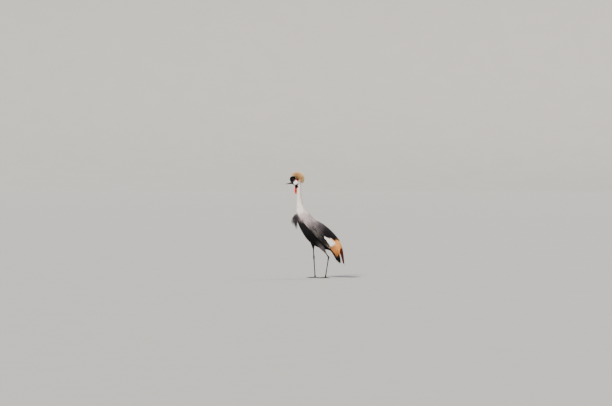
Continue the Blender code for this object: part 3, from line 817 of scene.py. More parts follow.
def trunk_place(points):
    """The address of points on the trunk: station and degrees from the back."""
    places = np.linspace(0, trunk.last, 400)
    row, _, up, side = trunk.section(places)
    nearest = np.empty(len(points), int)
    for start in range(0, len(points), BLOCK):
        block = points[start:start + BLOCK]
        gaps = ((block[:, None, :] - row[None, :, :3]) ** 2).sum(-1)
        nearest[start:start + BLOCK] = gaps.argmin(1)
    out = points - row[nearest, :3]
    height = (out * up[nearest]).sum(1) / np.maximum(row[nearest, 3], 1)
    aside = (out * side[nearest]).sum(1) / np.maximum(row[nearest, 5], 1)
    return places[nearest], np.degrees(np.arctan2(aside, height))


trunk_core = Form(TRUNK, BACKWARD, -COAT_DEPTH)
pieces = [loft("trunk skin", form_rings(trunk_core, np.linspace(0.02, 14.98, 150), 72))]
pieces.append(outward(mesh_object("head skin", *head_arrays(), 60)))
for leg in LEGS:
    thigh = leg.thigh()
    pieces.append(loft("thigh skin", form_rings(thigh, np.linspace(0, thigh.last, 30), 40, -1.5)))
for side in SIDES:
    pieces.append(wing_core(side))
pieces.append(loft("tail root skin", form_rings(tail, np.linspace(0, 1.4, 12), 40, -4)))
skin = fuse("skin", pieces)

skin_points = points_of(skin)
skin_t, skin_angle = trunk_place(skin_points)
skin_tint = trunk_colours(skin_t, skin_angle)[0] * 0.8
skin_tint = blend_colours(skin_tint, SLATE, 0.8 * step(skin_t, 9.0, 10.0))
on_head = step(skin_points[:, 2], 893, 903) * (1 - step(skin_points[:, 0], -242, -236))
skin_tint = blend_colours(skin_tint, head_colours(skin_points), on_head)
paint(skin, "tint", skin_tint)
print("skin vertices", len(skin_points))


def skin_finish():
    f = Finish("skin under the feathers")
    where = f.place()
    wrinkles = f.cells(420.0, where, "DISTANCE_TO_EDGE")
    mottle = f.remap(f.noise(150.0, where), 0.3, 0.7, 0.9, 1.08)
    colour = f.blend(1.0, f.attribute("tint"), mottle, "MULTIPLY")
    f.bump(wrinkles, 0.0004, 0.5)
    return f.surface(colour, 0.6, Subsurface_Weight=0.08, Subsurface_Scale=0.004, Specular_IOR_Level=0.4)


finish_piece(skin, skin_finish(), "body_feathers",
             "head", "neck_upper", "neck_lower", "torso", "thigh_l", "thigh_r")

# %% [markdown]
# One feather is a bent blade: a ring of four points, two edges, a raised shaft and an underside,
# repeated from root to tip. Each could be an object of its own, but thousands of them become one
# mesh in a single numpy sum, which is far quicker.

# %% Feathers as one mesh
PATCH = 0.003  # how much of the unwrap one feather covers


def blade_faces(stations, count):
    """Faces of many blades, each a ring of four points a station and one point at its tip."""
    each = 4 * (stations - 1) + 1
    ring = np.arange(4)
    following = (ring + 1) % 4
    quads = [[3, 2, 1, 0]]
    for s in range(stations - 2):
        a, b = 4 * s, 4 * (s + 1)
        quads += np.stack([a + ring, a + following, b + following, b + ring], 1).tolist()
    end = 4 * (stations - 2)
    tips = np.stack([end + ring, end + following, np.full(4, each - 1)], 1)
    offsets = (np.arange(count) * each)[:, None, None]
    quads = (np.array(quads)[None] + offsets).reshape(-1, 4).tolist()
    return quads + (tips[None] + offsets).reshape(-1, 3).tolist()


def for_points(colours, stations):
    """One colour a point from one a feather, or from one for each of its stations."""
    if colours.ndim == 2:
        colours = np.repeat(colours[:, None], stations, axis=1)
    return np.concatenate([np.repeat(colours[:, :-1], 4, axis=1), colours[:, -1:]], 1).reshape(-1, 3)


def blades(name, spine, normals, half_widths, tint, fringe, roots, cup=0.22, ridge=0.35, thick=0.35):
    """One mesh of feathers from their spines (feathers, stations, 3), painted and mapped."""
    count, stations, _ = spine.shape
    way = unit(np.gradient(spine, axis=1))
    normals = unit(normals - way * dot(normals, way))
    side = np.cross(way, normals)
    width = np.broadcast_to(half_widths, (count, stations))[..., None]
    drop = normals * (np.asarray(cup) * width)
    rings = np.stack([spine - side * width - drop, spine + normals * ridge,
                      spine + side * width - drop, spine - normals * thick], 2)
    body = rings[:, :-1].reshape(count, -1, 3)
    points = np.concatenate([body, spine[:, -1:, :]], 1)
    obj = mesh_object(name, points.reshape(-1, 3), blade_faces(stations, count), 70)
    each = points.shape[1]
    along = np.linspace(0, 1, stations)
    v = np.append(np.repeat(along[:-1], 4), 1.0)
    u = np.append(np.tile((0.0, 0.5, 1.0, 0.5), stations - 1), 0.5)
    own = np.tile(np.stack([u, v], 1), (count, 1))
    paint(obj, "tint", for_points(tint, stations))
    paint(obj, "fringe", for_points(fringe, stations))
    map_corners(obj, "Feather", own)
    map_corners(obj, "OFBake", np.repeat(roots, each, axis=0) + (own - 0.5) * PATCH)
    return obj


print("a six-station feather has", len(blade_faces(6, 1)), "faces")

# %% [markdown]
# Feathers grow in staggered rows, as tiles lie on a roof, so that each covers the gap between two
# others. A row is measured along the form's own surface, which keeps the spacing even where the
# body grows wider. Each feather follows the form, because its stations are addresses on it with a
# lift that grows towards the tip.


# %% Rows of feathers
def outline(stations, shoulder=0.35, point=1.6, root=0.35):
    """Half width from root to tip as a share of the widest: the shoulder, then a taper."""
    s = np.linspace(0, 1, stations)
    rise = root + (1 - root) * np.sin(np.clip(s / shoulder, 0, 1) * math.pi / 2)
    fall = 1 - np.clip((s - shoulder) / (1 - shoulder), 0, 1) ** point
    return np.maximum(rise * fall, 0.04)


def rooted_rows(form, span, pitch, angles, spacing, draw, jitter=0.3):
    """Addresses of feather roots in staggered rows. Sizes are functions of the station."""
    places, turns = [], []
    t, row = span[0], 0
    while t < span[1]:
        low, high = angles
        fine = np.linspace(low, high, 61)
        steps = length_of(np.diff(form.point(t, fine), axis=0))
        reach = np.concatenate([[0], np.cumsum(steps)])
        count = max(int(reach[-1] / spacing(t)), 1)
        share = (np.arange(count) + (0.25 if row % 2 else 0.75)) / count
        share = share + draw.uniform(-jitter, jitter, count) / count
        turns.append(np.interp(share * reach[-1], reach, fine))
        gap = pitch(t) / float(form.speed(t, (low + high) / 2))
        places.append(t + gap * draw.uniform(-jitter, jitter, count))
        t += gap
        row += 1
    return np.concatenate(places), np.concatenate(turns)


def lay(form, t, angle, length, sink, lift, stations=6, turn=0.0, curl=1.6):
    """Spines and normals of feathers that lie back along a form from their roots."""
    s = np.linspace(0, 1, stations)[None, :]
    flat = np.zeros(len(t))
    length, sink, lift, turn = ((flat + value)[:, None] for value in (length, sink, lift, turn))
    places = t[:, None] + length / form.speed(t[:, None], angle[:, None]) * s
    turns = angle[:, None] + turn * s
    rise = sink + (lift - sink) * s ** (1 / curl)
    return form.point(places, turns, rise), form.normal(places, turns)


def varied(colours, draw, spread=0.1):
    """Each feather a little lighter or darker than the rule says."""
    shape = (len(colours),) + (1,) * (colours.ndim - 1)
    return np.clip(colours * (1 + draw.normal(0, spread, shape)), 0, 1)


def spot(t, angle, last):
    """Where a root lies on the unwrap of its form: round it, and along it."""
    return np.stack([((angle / 360) + 0.5) % 1.0, np.clip(t / last, 0, 1)], 1)


print("half widths of a feather from root to tip", outline(6).round(2))

# %% [markdown]
# Two jobs on the bird are left to Geometry Nodes: the velvet of the head and the plates of the
# legs. Such a tree is built as a material is, by the same recipe. What it adds are named inputs
# and a last step that turns instances into plain mesh.


# %% Tree builder
class Tree(Recipe):
    """A Geometry Nodes tree with named inputs."""

    def __init__(self, name, **inputs):
        self.tree = bpy.data.node_groups.new(name, "GeometryNodeTree")
        self.tree.is_modifier = True
        face = self.tree.interface
        face.new_socket("Geometry", in_out="INPUT", socket_type="NodeSocketGeometry")
        self.ids = {}
        for label, kind in inputs.items():
            socket = face.new_socket(label, in_out="INPUT", socket_type="NodeSocket" + kind)
            self.ids[label] = socket.identifier
        face.new_socket("Geometry", in_out="OUTPUT", socket_type="NodeSocketGeometry")
        self.inputs = self.tree.nodes.new("NodeGroupInput").outputs

    def named(self, name, kind="FLOAT"):
        return self.add("GeometryNodeInputNamedAttribute", {"Name": name}, data_type=kind)

    def end(self, geometry):
        """Turns instances into plain mesh and gives them their material."""
        real = self.add("GeometryNodeRealizeInstances", {"Geometry": geometry})
        dressed = self.add("GeometryNodeSetMaterial", {"Geometry": real, "Material": self.inputs["Material"]})
        self.tree.links.new(dressed, self.tree.nodes.new("NodeGroupOutput").inputs[0])
        print(self.tree.name, "takes", list(self.ids))
        return self

    def run(self, obj, name, **values):
        """Evaluates the tree on an object, which is used up, and keeps the mesh it makes."""
        modifier = obj.modifiers.new("make", "NODES")
        modifier.node_group = self.tree
        for label, value in values.items():
            modifier[self.ids[label]] = value
        made = plain_copy(obj, name)
        bpy.data.objects.remove(obj)
        return made


print("a tree can:", [word for word in vars(Tree) if not word.startswith("_")])

# %% [markdown]
# The head's feathers are as short as velvet, far too many to place by hand and on a form with no
# simple address. Geometry Nodes scatter them instead: one tuft, set on points of the head, aimed
# by an attribute stored there and sized by another. The same tree scatters any tuft on any
# surface, so its spacing, seed and tuft are named inputs.

# %% Scatter tree
DENSITY_LIMIT = 2.0e6  # points a square metre; the spacing alone thins them below that


def scatter_tree():
    tree = Tree("scatter tufts", Tuft="Object", Material="Material", Spacing="Float", Seed="Int",
                Jitter="Float")
    distribute = tree.add("GeometryNodeDistributePointsOnFaces", {
        "Mesh": tree.inputs["Geometry"], "Distance Min": tree.inputs["Spacing"],
        "Density Max": DENSITY_LIMIT, "Density Factor": tree.named("density"),
        "Seed": tree.inputs["Seed"]}, distribute_method="POISSON")
    normal = distribute.node.outputs["Normal"]
    way = tree.named("way", "FLOAT_VECTOR")
    aimed = tree.add("FunctionNodeAlignRotationToVector", {"Vector": way}, axis="Y")
    level = tree.add("FunctionNodeAlignRotationToVector", {"Rotation": aimed, "Vector": normal},
                     axis="Z", pivot_axis="Y")
    low, high = (
        tree.add("ShaderNodeVectorMath", {0: (sign,) * 3, "Scale": tree.inputs["Jitter"]}, operation="SCALE")
        for sign in (-1, 1))
    wobble = tree.add("FunctionNodeRandomValue", {0: low, 1: high, "Seed": tree.inputs["Seed"]},
                      data_type="FLOAT_VECTOR")
    turned = tree.add("FunctionNodeEulerToRotation", {0: wobble})
    loose = tree.add("FunctionNodeRotateRotation", {"Rotation": level, "Rotate By": turned},
                     rotation_space="LOCAL")
    vary = tree.add("FunctionNodeRandomValue", {2: 0.8, 3: 1.2, "Seed": tree.inputs["Seed"]}, out=1)
    size = tree.add("ShaderNodeMath", {0: tree.named("size"), 1: vary}, operation="MULTIPLY")
    tuft = tree.add("GeometryNodeObjectInfo", {"Object": tree.inputs["Tuft"]}, out="Geometry")
    return tree.end(tree.add("GeometryNodeInstanceOnPoints", {
        "Points": distribute, "Instance": tuft, "Rotation": loose, "Scale": size}))


scatter = scatter_tree()

# %% [markdown]
# The tree reads its aim, size and density from attributes of the surface, and hands a fourth on to
# each tuft: the spot on the unwrap where its root lies. After scattering, that spot becomes the
# tuft's own patch of the unwrap, and the attributes have done their work.


# %% Attributes for scattering
def store(obj, name, kind, values):
    """Stores a plain attribute for each vertex: FLOAT, FLOAT2 or FLOAT_VECTOR."""
    layer = obj.data.attributes.new(name, kind, "POINT")
    key = "value" if kind == "FLOAT" else "vector"
    layer.data.foreach_set(key, np.asarray(values, np.float32).ravel())


def bake_map(obj):
    """Sets every tuft's patch of the unwrap where its root lies, from the attribute spot."""
    count, loops = len(obj.data.vertices), len(obj.data.loops)
    roots = np.zeros(count * 2, np.float32)
    obj.data.attributes["spot"].data.foreach_get("vector", roots)
    own = np.zeros(loops * 2, np.float32)
    obj.data.uv_layers["Feather"].data.foreach_get("uv", own)
    corners = np.zeros(loops, np.int64)
    obj.data.loops.foreach_get("vertex_index", corners)
    places = roots.reshape(-1, 2)[corners] + (own.reshape(-1, 2) - 0.5) * PATCH
    obj.data.uv_layers.new(name="OFBake").data.foreach_set("uv", places.astype(np.float32).ravel())
    for name in [a.name for a in obj.data.attributes]:
        if name in ("spot", "way", "size", "density"):
            obj.data.attributes.remove(obj.data.attributes[name])


print("one tuft takes", PATCH**2, "of the unwrap")

# %% [markdown]
# A tuft is one short feather of the same kind as the long ones. It is made without colours of its
# own, so that each copy takes the colour of the skin that it stands on.

# %% Tufts
TUFT = np.array([(0, 0, 0), (0, 0.34, 0.1), (0, 0.68, 0.12), (0, 1.0, 0.04)])  # spine in tuft lengths
TUFT_WOBBLE = 0.16  # radians


def tuft_blade(name, length, half_width):
    """One short feather along +Y, as an object to scatter."""
    spine = TUFT[None] * length - (shift, 0, 0)
    white = np.ones((1, 3))
    blade = blades(name, spine, np.broadcast_to(UP, spine.shape), half_width * outline(4, 0.4, 1.8),
                   white, white, np.zeros((1, 2)), ridge=0.08, thick=0.08)
    for layer in [a.name for a in blade.data.color_attributes]:
        blade.data.attributes.remove(blade.data.attributes[layer])
    blade.data.uv_layers.remove(blade.data.uv_layers["OFBake"])
    print(name, length, "mm long")
    return blade


def tuft_coat(name, field, density, way, size, spots, tint, length, half_width, spacing, seed):
    """Scatters one tuft over a field mesh, which is used up."""
    store(field, "density", "FLOAT", density)
    store(field, "way", "FLOAT_VECTOR", way)
    store(field, "size", "FLOAT", size)
    store(field, "spot", "FLOAT2", spots)
    paint(field, "tint", tint)
    paint(field, "fringe", tint * 1.25 + 0.001)
    tuft = tuft_blade(name + " tuft", length, half_width)
    coat = scatter.run(field, name, Tuft=tuft, Material=velvet_feather, Spacing=spacing * MM, Seed=seed,
                       Jitter=TUFT_WOBBLE)
    bpy.data.objects.remove(tuft)
    bake_map(coat)
    return coat


# %% [markdown]
# On the cap the tufts stand up like velvet pile. Elsewhere they lie back over the head and grow
# longer towards the neck, and none grows on the bare cheek, at the root of the bill or inside the
# rim of the eye.

# %% Head feathers
BILL_ROOT = (-345, 931)  # x, z
BILL_ROOT_HALF = (16, 11.5)
EYE_CLEARING = (8.2, 9.0)  # from the eye's middle to the first feathers and to the full coat
FACE_MIDDLE = (-310, 0, 950)
HEAD_START = -350  # where the head's unwrap begins along x
HEAD_SPAN = 115


def head_coat(name, velvet, length, half_width, spacing, seed):
    """Tufts on the cap, or on the rest of the feathered head."""
    points, faces = head_arrays()
    field = outward(mesh_object(name + " field", points, faces))
    cap, cheek, red, _ = head_zones(points)
    x, y, z = points[:, 0], np.abs(points[:, 1]), points[:, 2]
    bare = np.maximum(cheek, red)
    eye = 1 - step(length_of(np.stack([x - EYE[0], y - EYE[1], z - EYE[2]], 1)), *EYE_CLEARING)
    from_bill = np.hypot((x - BILL_ROOT[0]) / BILL_ROOT_HALF[0], (z - BILL_ROOT[1]) / BILL_ROOT_HALF[1])
    bill = 1 - step(from_bill, 0.9, 1.05)
    free = (1 - step(bare, 0.1, 0.4)) * (1 - eye) * (1 - bill)
    density = free * (step(cap, 0.3, 0.7) if velvet else 1 - step(cap, 0.6, 0.9))
    out = unit((points - HEAD_MIDDLE) * (0.6, 1, 1))
    back = unit(np.stack([0.75 + 0 * x, 0 * x, -0.5 - 0.8 * step(x, -290, -250)], 1))
    back = unit(back - out * dot(back, out))
    way = unit(back + out * (1.5 if velvet else 0.28))
    size = ramp(length_of(points - FACE_MIDDLE), (25, 0.8), (50, 1.15), (75, 2.0))
    around = np.degrees(np.arctan2(points[:, 1], z - HEAD_MIDDLE[2])) / 360 + 0.5
    spots = np.stack([(x - HEAD_START) / HEAD_SPAN, around], 1)
    return tuft_coat(name, field, density, way, size, spots, head_colours(points), length, half_width,
                     spacing, seed)


cap_coat = head_coat("cap_velvet", True, length=4.6, half_width=0.7, spacing=1.05, seed=5)
finish_piece(cap_coat, velvet_feather, "cap_feathers")
face_coat = head_coat("head_feathers", False, length=5.6, half_width=0.9, spacing=1.2, seed=6)
finish_piece(face_coat, velvet_feather, "cap_feathers")

# %% [markdown]
# Black feathers run from the chin down over the top of the wattle. They grow on a short form of
# their own, because the chin of the skin ends above it.

# %% Throat feathers
THROAT = [
    (-292, 916, 9, 11, 12),
    (-289, 904, 10, 13, 11),
    (-287.5, 893, 10, 12, 9.5),
    (-288, 884, 9, 9.5, 8),
]


def throat_coat():
    form = Form(THROAT, AHEAD, -1.0)
    points, faces = loft_arrays(form_rings(form, np.linspace(0, 3, 40), 48))
    field = outward(mesh_object("throat field", points, faces))
    x, z = points[:, 0], points[:, 2]
    flat = unit((points - (-289, 0, 900)) * (1, 1, 0))
    way = unit(flat * 0.2 + (0.12, 0, -1))
    spots = np.stack([(x - HEAD_START) / HEAD_SPAN, 0.05 + 0 * x], 1)
    tint = all_of(BLACK, len(points))
    return tuft_coat("throat_feathers", field, step(z, 884.5, 890), way, 1 + 0 * x, spots, tint,
                     length=7.5, half_width=1.0, spacing=1.3, seed=7)


finish_piece(throat_coat(), velvet_feather, "cap_feathers")

# %% [markdown]
# The neck wears short narrow hackles that lengthen towards the breast, and the body wears soft
# contour feathers. One function dresses any stretch of the trunk: it lays staggered rows, takes
# each colour from the markings and painted shade at the root and lets the tips rise a little out
# of the coat. The sizes are ramps over the stations, because every measure of a real coat changes
# along the bird.


# %% Neck and body feathers
def dress_trunk(name, span, pitch, angles, spacing, length, half_width, lift, seed, point=1.7, stations=6):
    draw = np.random.default_rng(seed)
    t, angle = rooted_rows(trunk, span, pitch, angles, spacing, draw)
    size = length(t) * draw.uniform(0.85, 1.15, len(t))
    rise = lift(t) + draw.normal(0, 0.3, len(t))
    sway = draw.normal(0, 2.5, len(t))
    spine, normals = lay(trunk, t, angle, size, -COAT_DEPTH, rise, stations, sway)
    widths = half_width(t)[:, None] * outline(stations, 0.4, point)
    tint, fringe = trunk_colours(t, angle)
    return blades(name, spine, normals, widths, varied(tint, draw, 0.06), varied(fringe, draw, 0.06),
                  spot(t, angle, trunk.last))


neck_coat = dress_trunk(
    "neck_feathers", (-0.1, 8.3),
    pitch=lambda t: ramp(t, (0, 2.1), (1.5, 2.9), (4, 4.3), (8, 8)),
    angles=(-180, 180),
    spacing=lambda t: ramp(t, (0, 1.8), (1.5, 2.5), (4, 3.5), (8, 6.4)),
    length=lambda t: ramp(t, (0, 15), (1.5, 20), (5, 32), (8, 48)),
    half_width=lambda t: ramp(t, (0, 1.9), (1.5, 2.7), (4, 3.6), (8, 5.4)),
    lift=lambda t: ramp(t, (0, -0.4), (1.5, 0.2), (8, 0.4)),
    seed=11, point=1.5,
)
finish_piece(neck_coat, soft_feather, "neck_feathers")

body_coat = dress_trunk(
    "body_feathers", (8.0, 14.9),
    pitch=lambda t: ramp(t, (8, 9), (14, 8)),
    angles=(-180, 180),
    spacing=lambda t: ramp(t, (8, 7.5), (14, 7.5)),
    length=lambda t: ramp(t, (8, 44), (10, 42), (14, 36)),
    half_width=lambda t: ramp(t, (8, 5.0), (10, 5.2)),
    lift=lambda t: ramp(t, (8, 0.6), (15, 0.4)),
    seed=12, point=2.2,
)
finish_piece(body_coat, soft_feather, "body_feathers")

mantle = dress_trunk(
    "mantle_feathers", (7.9, 10.1),
    pitch=lambda t: 8.0,
    angles=(-112, 112),
    spacing=lambda t: 7.0,
    length=lambda t: ramp(t, (8, 48), (10, 44)),
    half_width=lambda t: ramp(t, (8, 4.8), (10, 5.0)),
    lift=lambda t: ramp(t, (7.9, 1.0), (9, 7.0), (10, 10.0)),
    seed=13, point=1.6,
)
finish_piece(mantle, soft_feather, "neck_feathers")

# %% [markdown]
# At the base of the neck long pointed plumes hang clear of the breast as a loose tuft. Each has
# its tip lifted more the nearer it is to the middle of the breast, so the tuft stands forward
# there and closes in to the sides. They darken from a pale root to a charcoal tip.

# %% Breast plumes
PLUME_COUNT = 340
PLUME_STATIONS = 10


def breast_plumes():
    """Row is 0 for the lowest roots and 1 for the highest, share -1 and 1 at the tuft's two sides."""
    draw = np.random.default_rng(21)
    row = draw.uniform(0, 1, PLUME_COUNT)
    share = draw.uniform(-1, 1, PLUME_COUNT)
    share = share * np.abs(share) ** 0.4
    t = mix(8.3, 7.5, row)
    angle = 180 + mix(52, 40, row) * share
    flank = np.abs(share) ** 1.5
    reach = mix(mix(1.4, 1.42, row), 0.9, flank) + draw.uniform(-0.14, 0.1, PLUME_COUNT)
    stand = mix(42, 76, row) * (1 - 0.72 * np.abs(share)) * draw.uniform(0.6, 1.05, PLUME_COUNT)
    s = np.linspace(0, 1, PLUME_STATIONS)[None, :]
    places = t[:, None] + reach[:, None] * s
    rise = -COAT_DEPTH + (COAT_DEPTH + 1) * np.clip(s / 0.3, 0, 1)
    rise = rise + stand[:, None] * np.clip((s - 0.1) / 0.9, 0, 1) ** 1.15
    turns = angle[:, None] + draw.normal(0, 5, PLUME_COUNT)[:, None] * s
    widths = draw.uniform(2.2, 3.6, PLUME_COUNT)[:, None] * outline(PLUME_STATIONS, 0.3, 1.25)
    pale = trunk_colours(t, angle)[0][:, None]
    darker = np.broadcast_to(step(s, 0.1, 0.7), places.shape)
    tint = varied(blend_colours(pale, mix(SMOKE, CHARCOAL, 0.5), darker), draw, 0.15)
    return blades("breast_plumes", trunk.point(places, turns, rise), trunk.normal(places, turns), widths,
                  tint, tint * 1.4, spot(t, angle, trunk.last))


finish_piece(breast_plumes(), streaky_feather, "neck_feathers")

# %% [markdown]
# The thighs carry the same soft feathers as the belly, shorter towards the bare leg. The left one
# stands in the light, which is painted in: its feathers turn greyer below, while the right one,
# in shade, stays charcoal. Each is laid on the form of its own thigh, since the rows of the trunk
# don't reach down the leg.


# %% Thigh feathers
def thigh_feathers(leg):
    draw = np.random.default_rng(31 + leg.side)
    form = leg.thigh()
    t, angle = rooted_rows(form, (0.05, form.last - 0.1), lambda t: 5.5, (-180, 180), lambda t: 5.0, draw)
    size = ramp(t, (0, 30), (3, 24), (5, 12)) * draw.uniform(0.85, 1.15, len(t))
    rise = ramp(t, (0, 1.0), (2, 1.6), (5, 0.6))
    spine, normals = lay(form, t, angle, size, -2.5, rise, 6, draw.normal(0, 3, len(t)))
    widths = ramp(t, (0, 4.0), (2, 3.8), (5, 1.9))[:, None] * outline(6, 0.4, 2.0)
    tint = all_of(CHARCOAL, len(t))
    # painted light: only the left thigh, which faces the light, turns greyer below; the right one stays
    # charcoal as in shade
    if leg.side == LEFT:
        tint = blend_colours(tint, SMOKE, 0.85 * step(t, 1.0, 2.6))
    tint = varied(tint, draw, 0.12)
    return blades("thigh_feathers_" + letter(leg.side), spine, normals, widths, tint, tint * 1.4,
                  spot(t, angle, form.last))


for leg in LEGS:
    finish_piece(thigh_feathers(leg), soft_feather, "body_feathers")

# %% [markdown]
# A folded wing lies as a cloak over the back and flank. Its feathers come in tiers like roof
# tiles, each tier rooted under the one above it and all of them pointing to the wing tip: long
# ash-grey lances over the shoulder, dark violet tertials along the back, white coverts, loose gold
# plumes, and the black and chestnut quills beneath. A tier is a few numbers, and one function
# lays any of them on either side.

# %% Laying a tier
@dataclass
class Tier:
    """Rows of wing feathers, from the first row to the last.

    Each inner pair is for the edge nearest the back and the edge nearest the belly. The lifts are
    those of all roots, of the tips of the first row and of the tips of the last.
    """

    rows: int
    count: int
    roots: tuple
    root_angles: tuple
    tips: tuple
    tip_angles: tuple
    half_width: float
    point: float
    lifts: tuple
    colours: object
    finish: object


def lay_tier(name, side, tier, seed, stations=8):
    """The feathers of a tier: rows deep from its first root to its last, count across."""
    draw = np.random.default_rng(seed)
    row, column = np.arange(tier.rows), np.arange(tier.count)
    deep, across = np.meshgrid((row + 0.5) / tier.rows, (column + 0.5) / tier.count)
    across = across + np.where(row[None, :] % 2, 0.25, -0.25) / tier.count
    deep, across = deep.ravel(), across.ravel()
    deep = deep + draw.uniform(-0.3, 0.3, len(deep)) / tier.rows
    across = np.clip(across + draw.uniform(-0.25, 0.25, len(across)) / tier.count, 0, 1)

    def spread(near, far):
        """From the first row's pair of values to the last row's."""
        return mix(mix(near[0], near[1], across), mix(far[0], far[1], across), deep)

    root_t, root_a = spread(*tier.roots), spread(*tier.root_angles)
    tip_t = spread(*tier.tips) + draw.uniform(-0.1, 0.1, len(deep))
    tip_a = spread(*tier.tip_angles) + draw.normal(0, 1.2, len(deep))
    s = np.linspace(0, 1, stations)[None, :]
    t = root_t[:, None] + (tip_t - root_t)[:, None] * s
    angle = (root_a[:, None] + (tip_a - root_a)[:, None] * s) * -side
    sink, low, high = tier.lifts
    rise = sink + (mix(low, high, deep)[:, None] - sink) * np.sqrt(s)
    rise = rise + draw.uniform(-0.3, 0.3, len(deep))[:, None]
    sizes = draw.uniform(0.88, 1.1, len(deep))[:, None]
    widths = tier.half_width * sizes * outline(stations, 0.35, tier.point)
    tint, fringe = tier.colours(tip_t, tip_a, draw)
    return blades(name, cloak.point(t, angle, rise), cloak.normal(t, angle), widths, tint, fringe,
                  spot(root_t, root_a * -side, cloak.last))


print("in the middle of a wing one station is", round(float(cloak.speed(3.0, 50.0)), 1), "mm")

# %% [markdown]
# A wing feather takes its colour from where its tip lies, since the tip is what shows. Each rule
# gives the tint and the fringe of all feathers of a tier at once, from a few blends, and varies
# them a little, because no two feathers of a real wing have worn alike.


# %% Colours of the wing
def lance_colours(t, angle, draw):
    """Ash over the shoulder, darker along the flank."""
    low = np.clip((angle - 10) / 90, 0, 1)
    tint = blend_colours(all_of(ASH, len(t)), SMOKE, step(t, 0.9, 2.0))
    tint = blend_colours(tint, SLATE, step(t, 1.9, 3.0))
    tint = blend_colours(tint, CHARCOAL, step(low, 0.6, 0.95) * step(t, 1.0, 2.0))
    return varied(tint, draw, 0.1), varied(tint * 1.4 + 0.005, draw, 0.1)


def streamer_colours(t, _, draw):
    """Long plumes over the flank, dark with a pale edge."""
    tint = blend_colours(all_of(mix(ASH, SMOKE, 0.9), len(t)), CHARCOAL, step(t, 1.2, 2.6))
    pale = blend_colours(tint, PEARL * 0.75, draw.uniform(0.3, 0.9, len(t)))
    return varied(tint, draw, 0.15), pale


def slate_colours(t, _, draw):
    """Ash like the mantle at first, then violet slate."""
    tint = blend_colours(all_of(ASH, len(t)), SMOKE, step(t, 1.7, 2.3))
    tint = varied(blend_colours(tint, SLATE, step(t, 2.0, 3.0)), draw, 0.1)
    return tint, tint * 1.4


def olive_colours(t, _, draw):
    """Streaks of olive, white and black where the coverts meet the belly."""
    green = draw.uniform(0, 0.6, len(t)) * step(t, 3.4, 4.4)
    tint = blend_colours(all_of(CHARCOAL, len(t)), OLIVE, green)
    pale = draw.uniform(0, 0.9, len(t)) * step(t, 3.8, 4.6)
    return varied(tint, draw, 0.12), blend_colours(tint * 1.3, WHITE * 0.8, pale)


def plain_colours(colour, spread, lighter):
    """A rule for feathers of one colour, with a fringe that many times lighter."""

    def colours(t, _, draw):
        tint = varied(all_of(colour, len(t)), draw, spread)
        return tint, tint * lighter

    return colours


def gold_colours(low, draw):
    """Gold, rusty towards the edge nearest the belly, where low is 1."""
    tint = blend_colours(all_of(GOLD, len(low)), AMBER, draw.uniform(0, 1, len(low)))
    tint = blend_colours(tint, RUST, step(low, 0.5, 1.0) * draw.uniform(0.2, 0.9, len(low)))
    return varied(tint, draw, 0.1), varied(tint * 1.15, draw, 0.08)


middle_tip = np.array([2.0]), np.array([50.0])
print("a lance with its tip at station 2:", lance_colours(*middle_tip, np.random.default_rng(1))[0].round(3))

# %% [markdown]
# A wing has seven tiers. Stations run from the shoulder to the wing tip, and angles from the
# middle of the back to the belly. Lances and streamers end in sharp points, coverts and quills in
# round tips, as on the real wing. A table keeps all of that in one place, where it can be compared.

# %% The tiers of one wing
WING = {
    "lances": Tier(
        rows=34, count=18, half_width=5.2, point=1.35, lifts=(-10, -2.5, 1.6),
        roots=((-0.3, -0.15), (2.8, 2.8)), root_angles=((14, 104), (40, 108)),
        tips=((0.75, 0.85), (3.9, 4.3)), tip_angles=((12, 104), (44, 108)),
        colours=lance_colours, finish=streaky_feather),
    "streamers": Tier(
        rows=5, count=6, half_width=3.0, point=1.3, lifts=(-8, 2.0, 3.2),
        roots=((0.1, 0.2), (1.8, 1.5)), root_angles=((46, 98), (60, 102)),
        tips=((1.5, 1.5), (3.1, 3.5)), tip_angles=((56, 101), (74, 106)),
        colours=streamer_colours, finish=edged_feather),
    "tertials": Tier(
        rows=14, count=10, half_width=7.4, point=1.9, lifts=(-9, 2.4, 4.4),
        roots=((0.9, 1.3), (3.4, 3.2)), root_angles=((8, 65), (7, 50)),
        tips=((2.1, 2.5), (5.0, 4.5)), tip_angles=((8, 68), (8, 51)),
        colours=slate_colours, finish=soft_feather),
    "coverts": Tier(
        rows=12, count=10, half_width=6.4, point=2.6, lifts=(-9, 1.8, 3.6),
        roots=((2.9, 2.9), (3.75, 3.7)), root_angles=((76, 78), (54, 85)),
        tips=((3.35, 3.35), (4.75, 4.75)), tip_angles=((76, 78), (55, 87)),
        colours=plain_colours(WHITE, 0.05, 1.0), finish=soft_feather),
    "olive": Tier(
        rows=9, count=7, half_width=5.0, point=1.4, lifts=(-9, 1.2, 2.6),
        roots=((2.6, 2.4), (3.7, 3.5)), root_angles=((86, 106), (88, 108)),
        tips=((3.4, 3.3), (4.85, 4.65)), tip_angles=((87, 107), (90, 110)),
        colours=olive_colours, finish=streaky_feather),
    "secondaries": Tier(
        rows=3, count=8, half_width=9.5, point=2.8, lifts=(-10, 10.0, 10.0),
        roots=((4.3, 4.3), (4.9, 4.9)), root_angles=((8, 50), (10, 54)),
        tips=((7.0, 6.9), (7.6, 7.5)), tip_angles=((3, 46), (6, 48)),
        colours=plain_colours(CHESTNUT, 0.1, 1.15), finish=quill_feather),
    "primaries": Tier(
        rows=4, count=12, half_width=8.5, point=2.6, lifts=(-10, -3.0, -5.0),
        roots=((3.9, 3.5), (4.6, 4.1)), root_angles=((60, 112), (64, 114)),
        tips=((6.8, 5.4), (7.3, 6.7)), tip_angles=((66, 124), (78, 140)),
        colours=plain_colours(BLACK, 0.1, 1.3), finish=quill_feather),
}
print("feathers in the tiers of one wing", sum(tier.rows * tier.count for tier in WING.values()))

# %% [markdown]
# The gold plumes have no closed vane: their barbs hang loose and let the wind through. A plume is
# therefore a fan of separate filaments, each a narrow blade. A texture of gaps on one broad blade
# would be lighter, but from close up its edge would show.


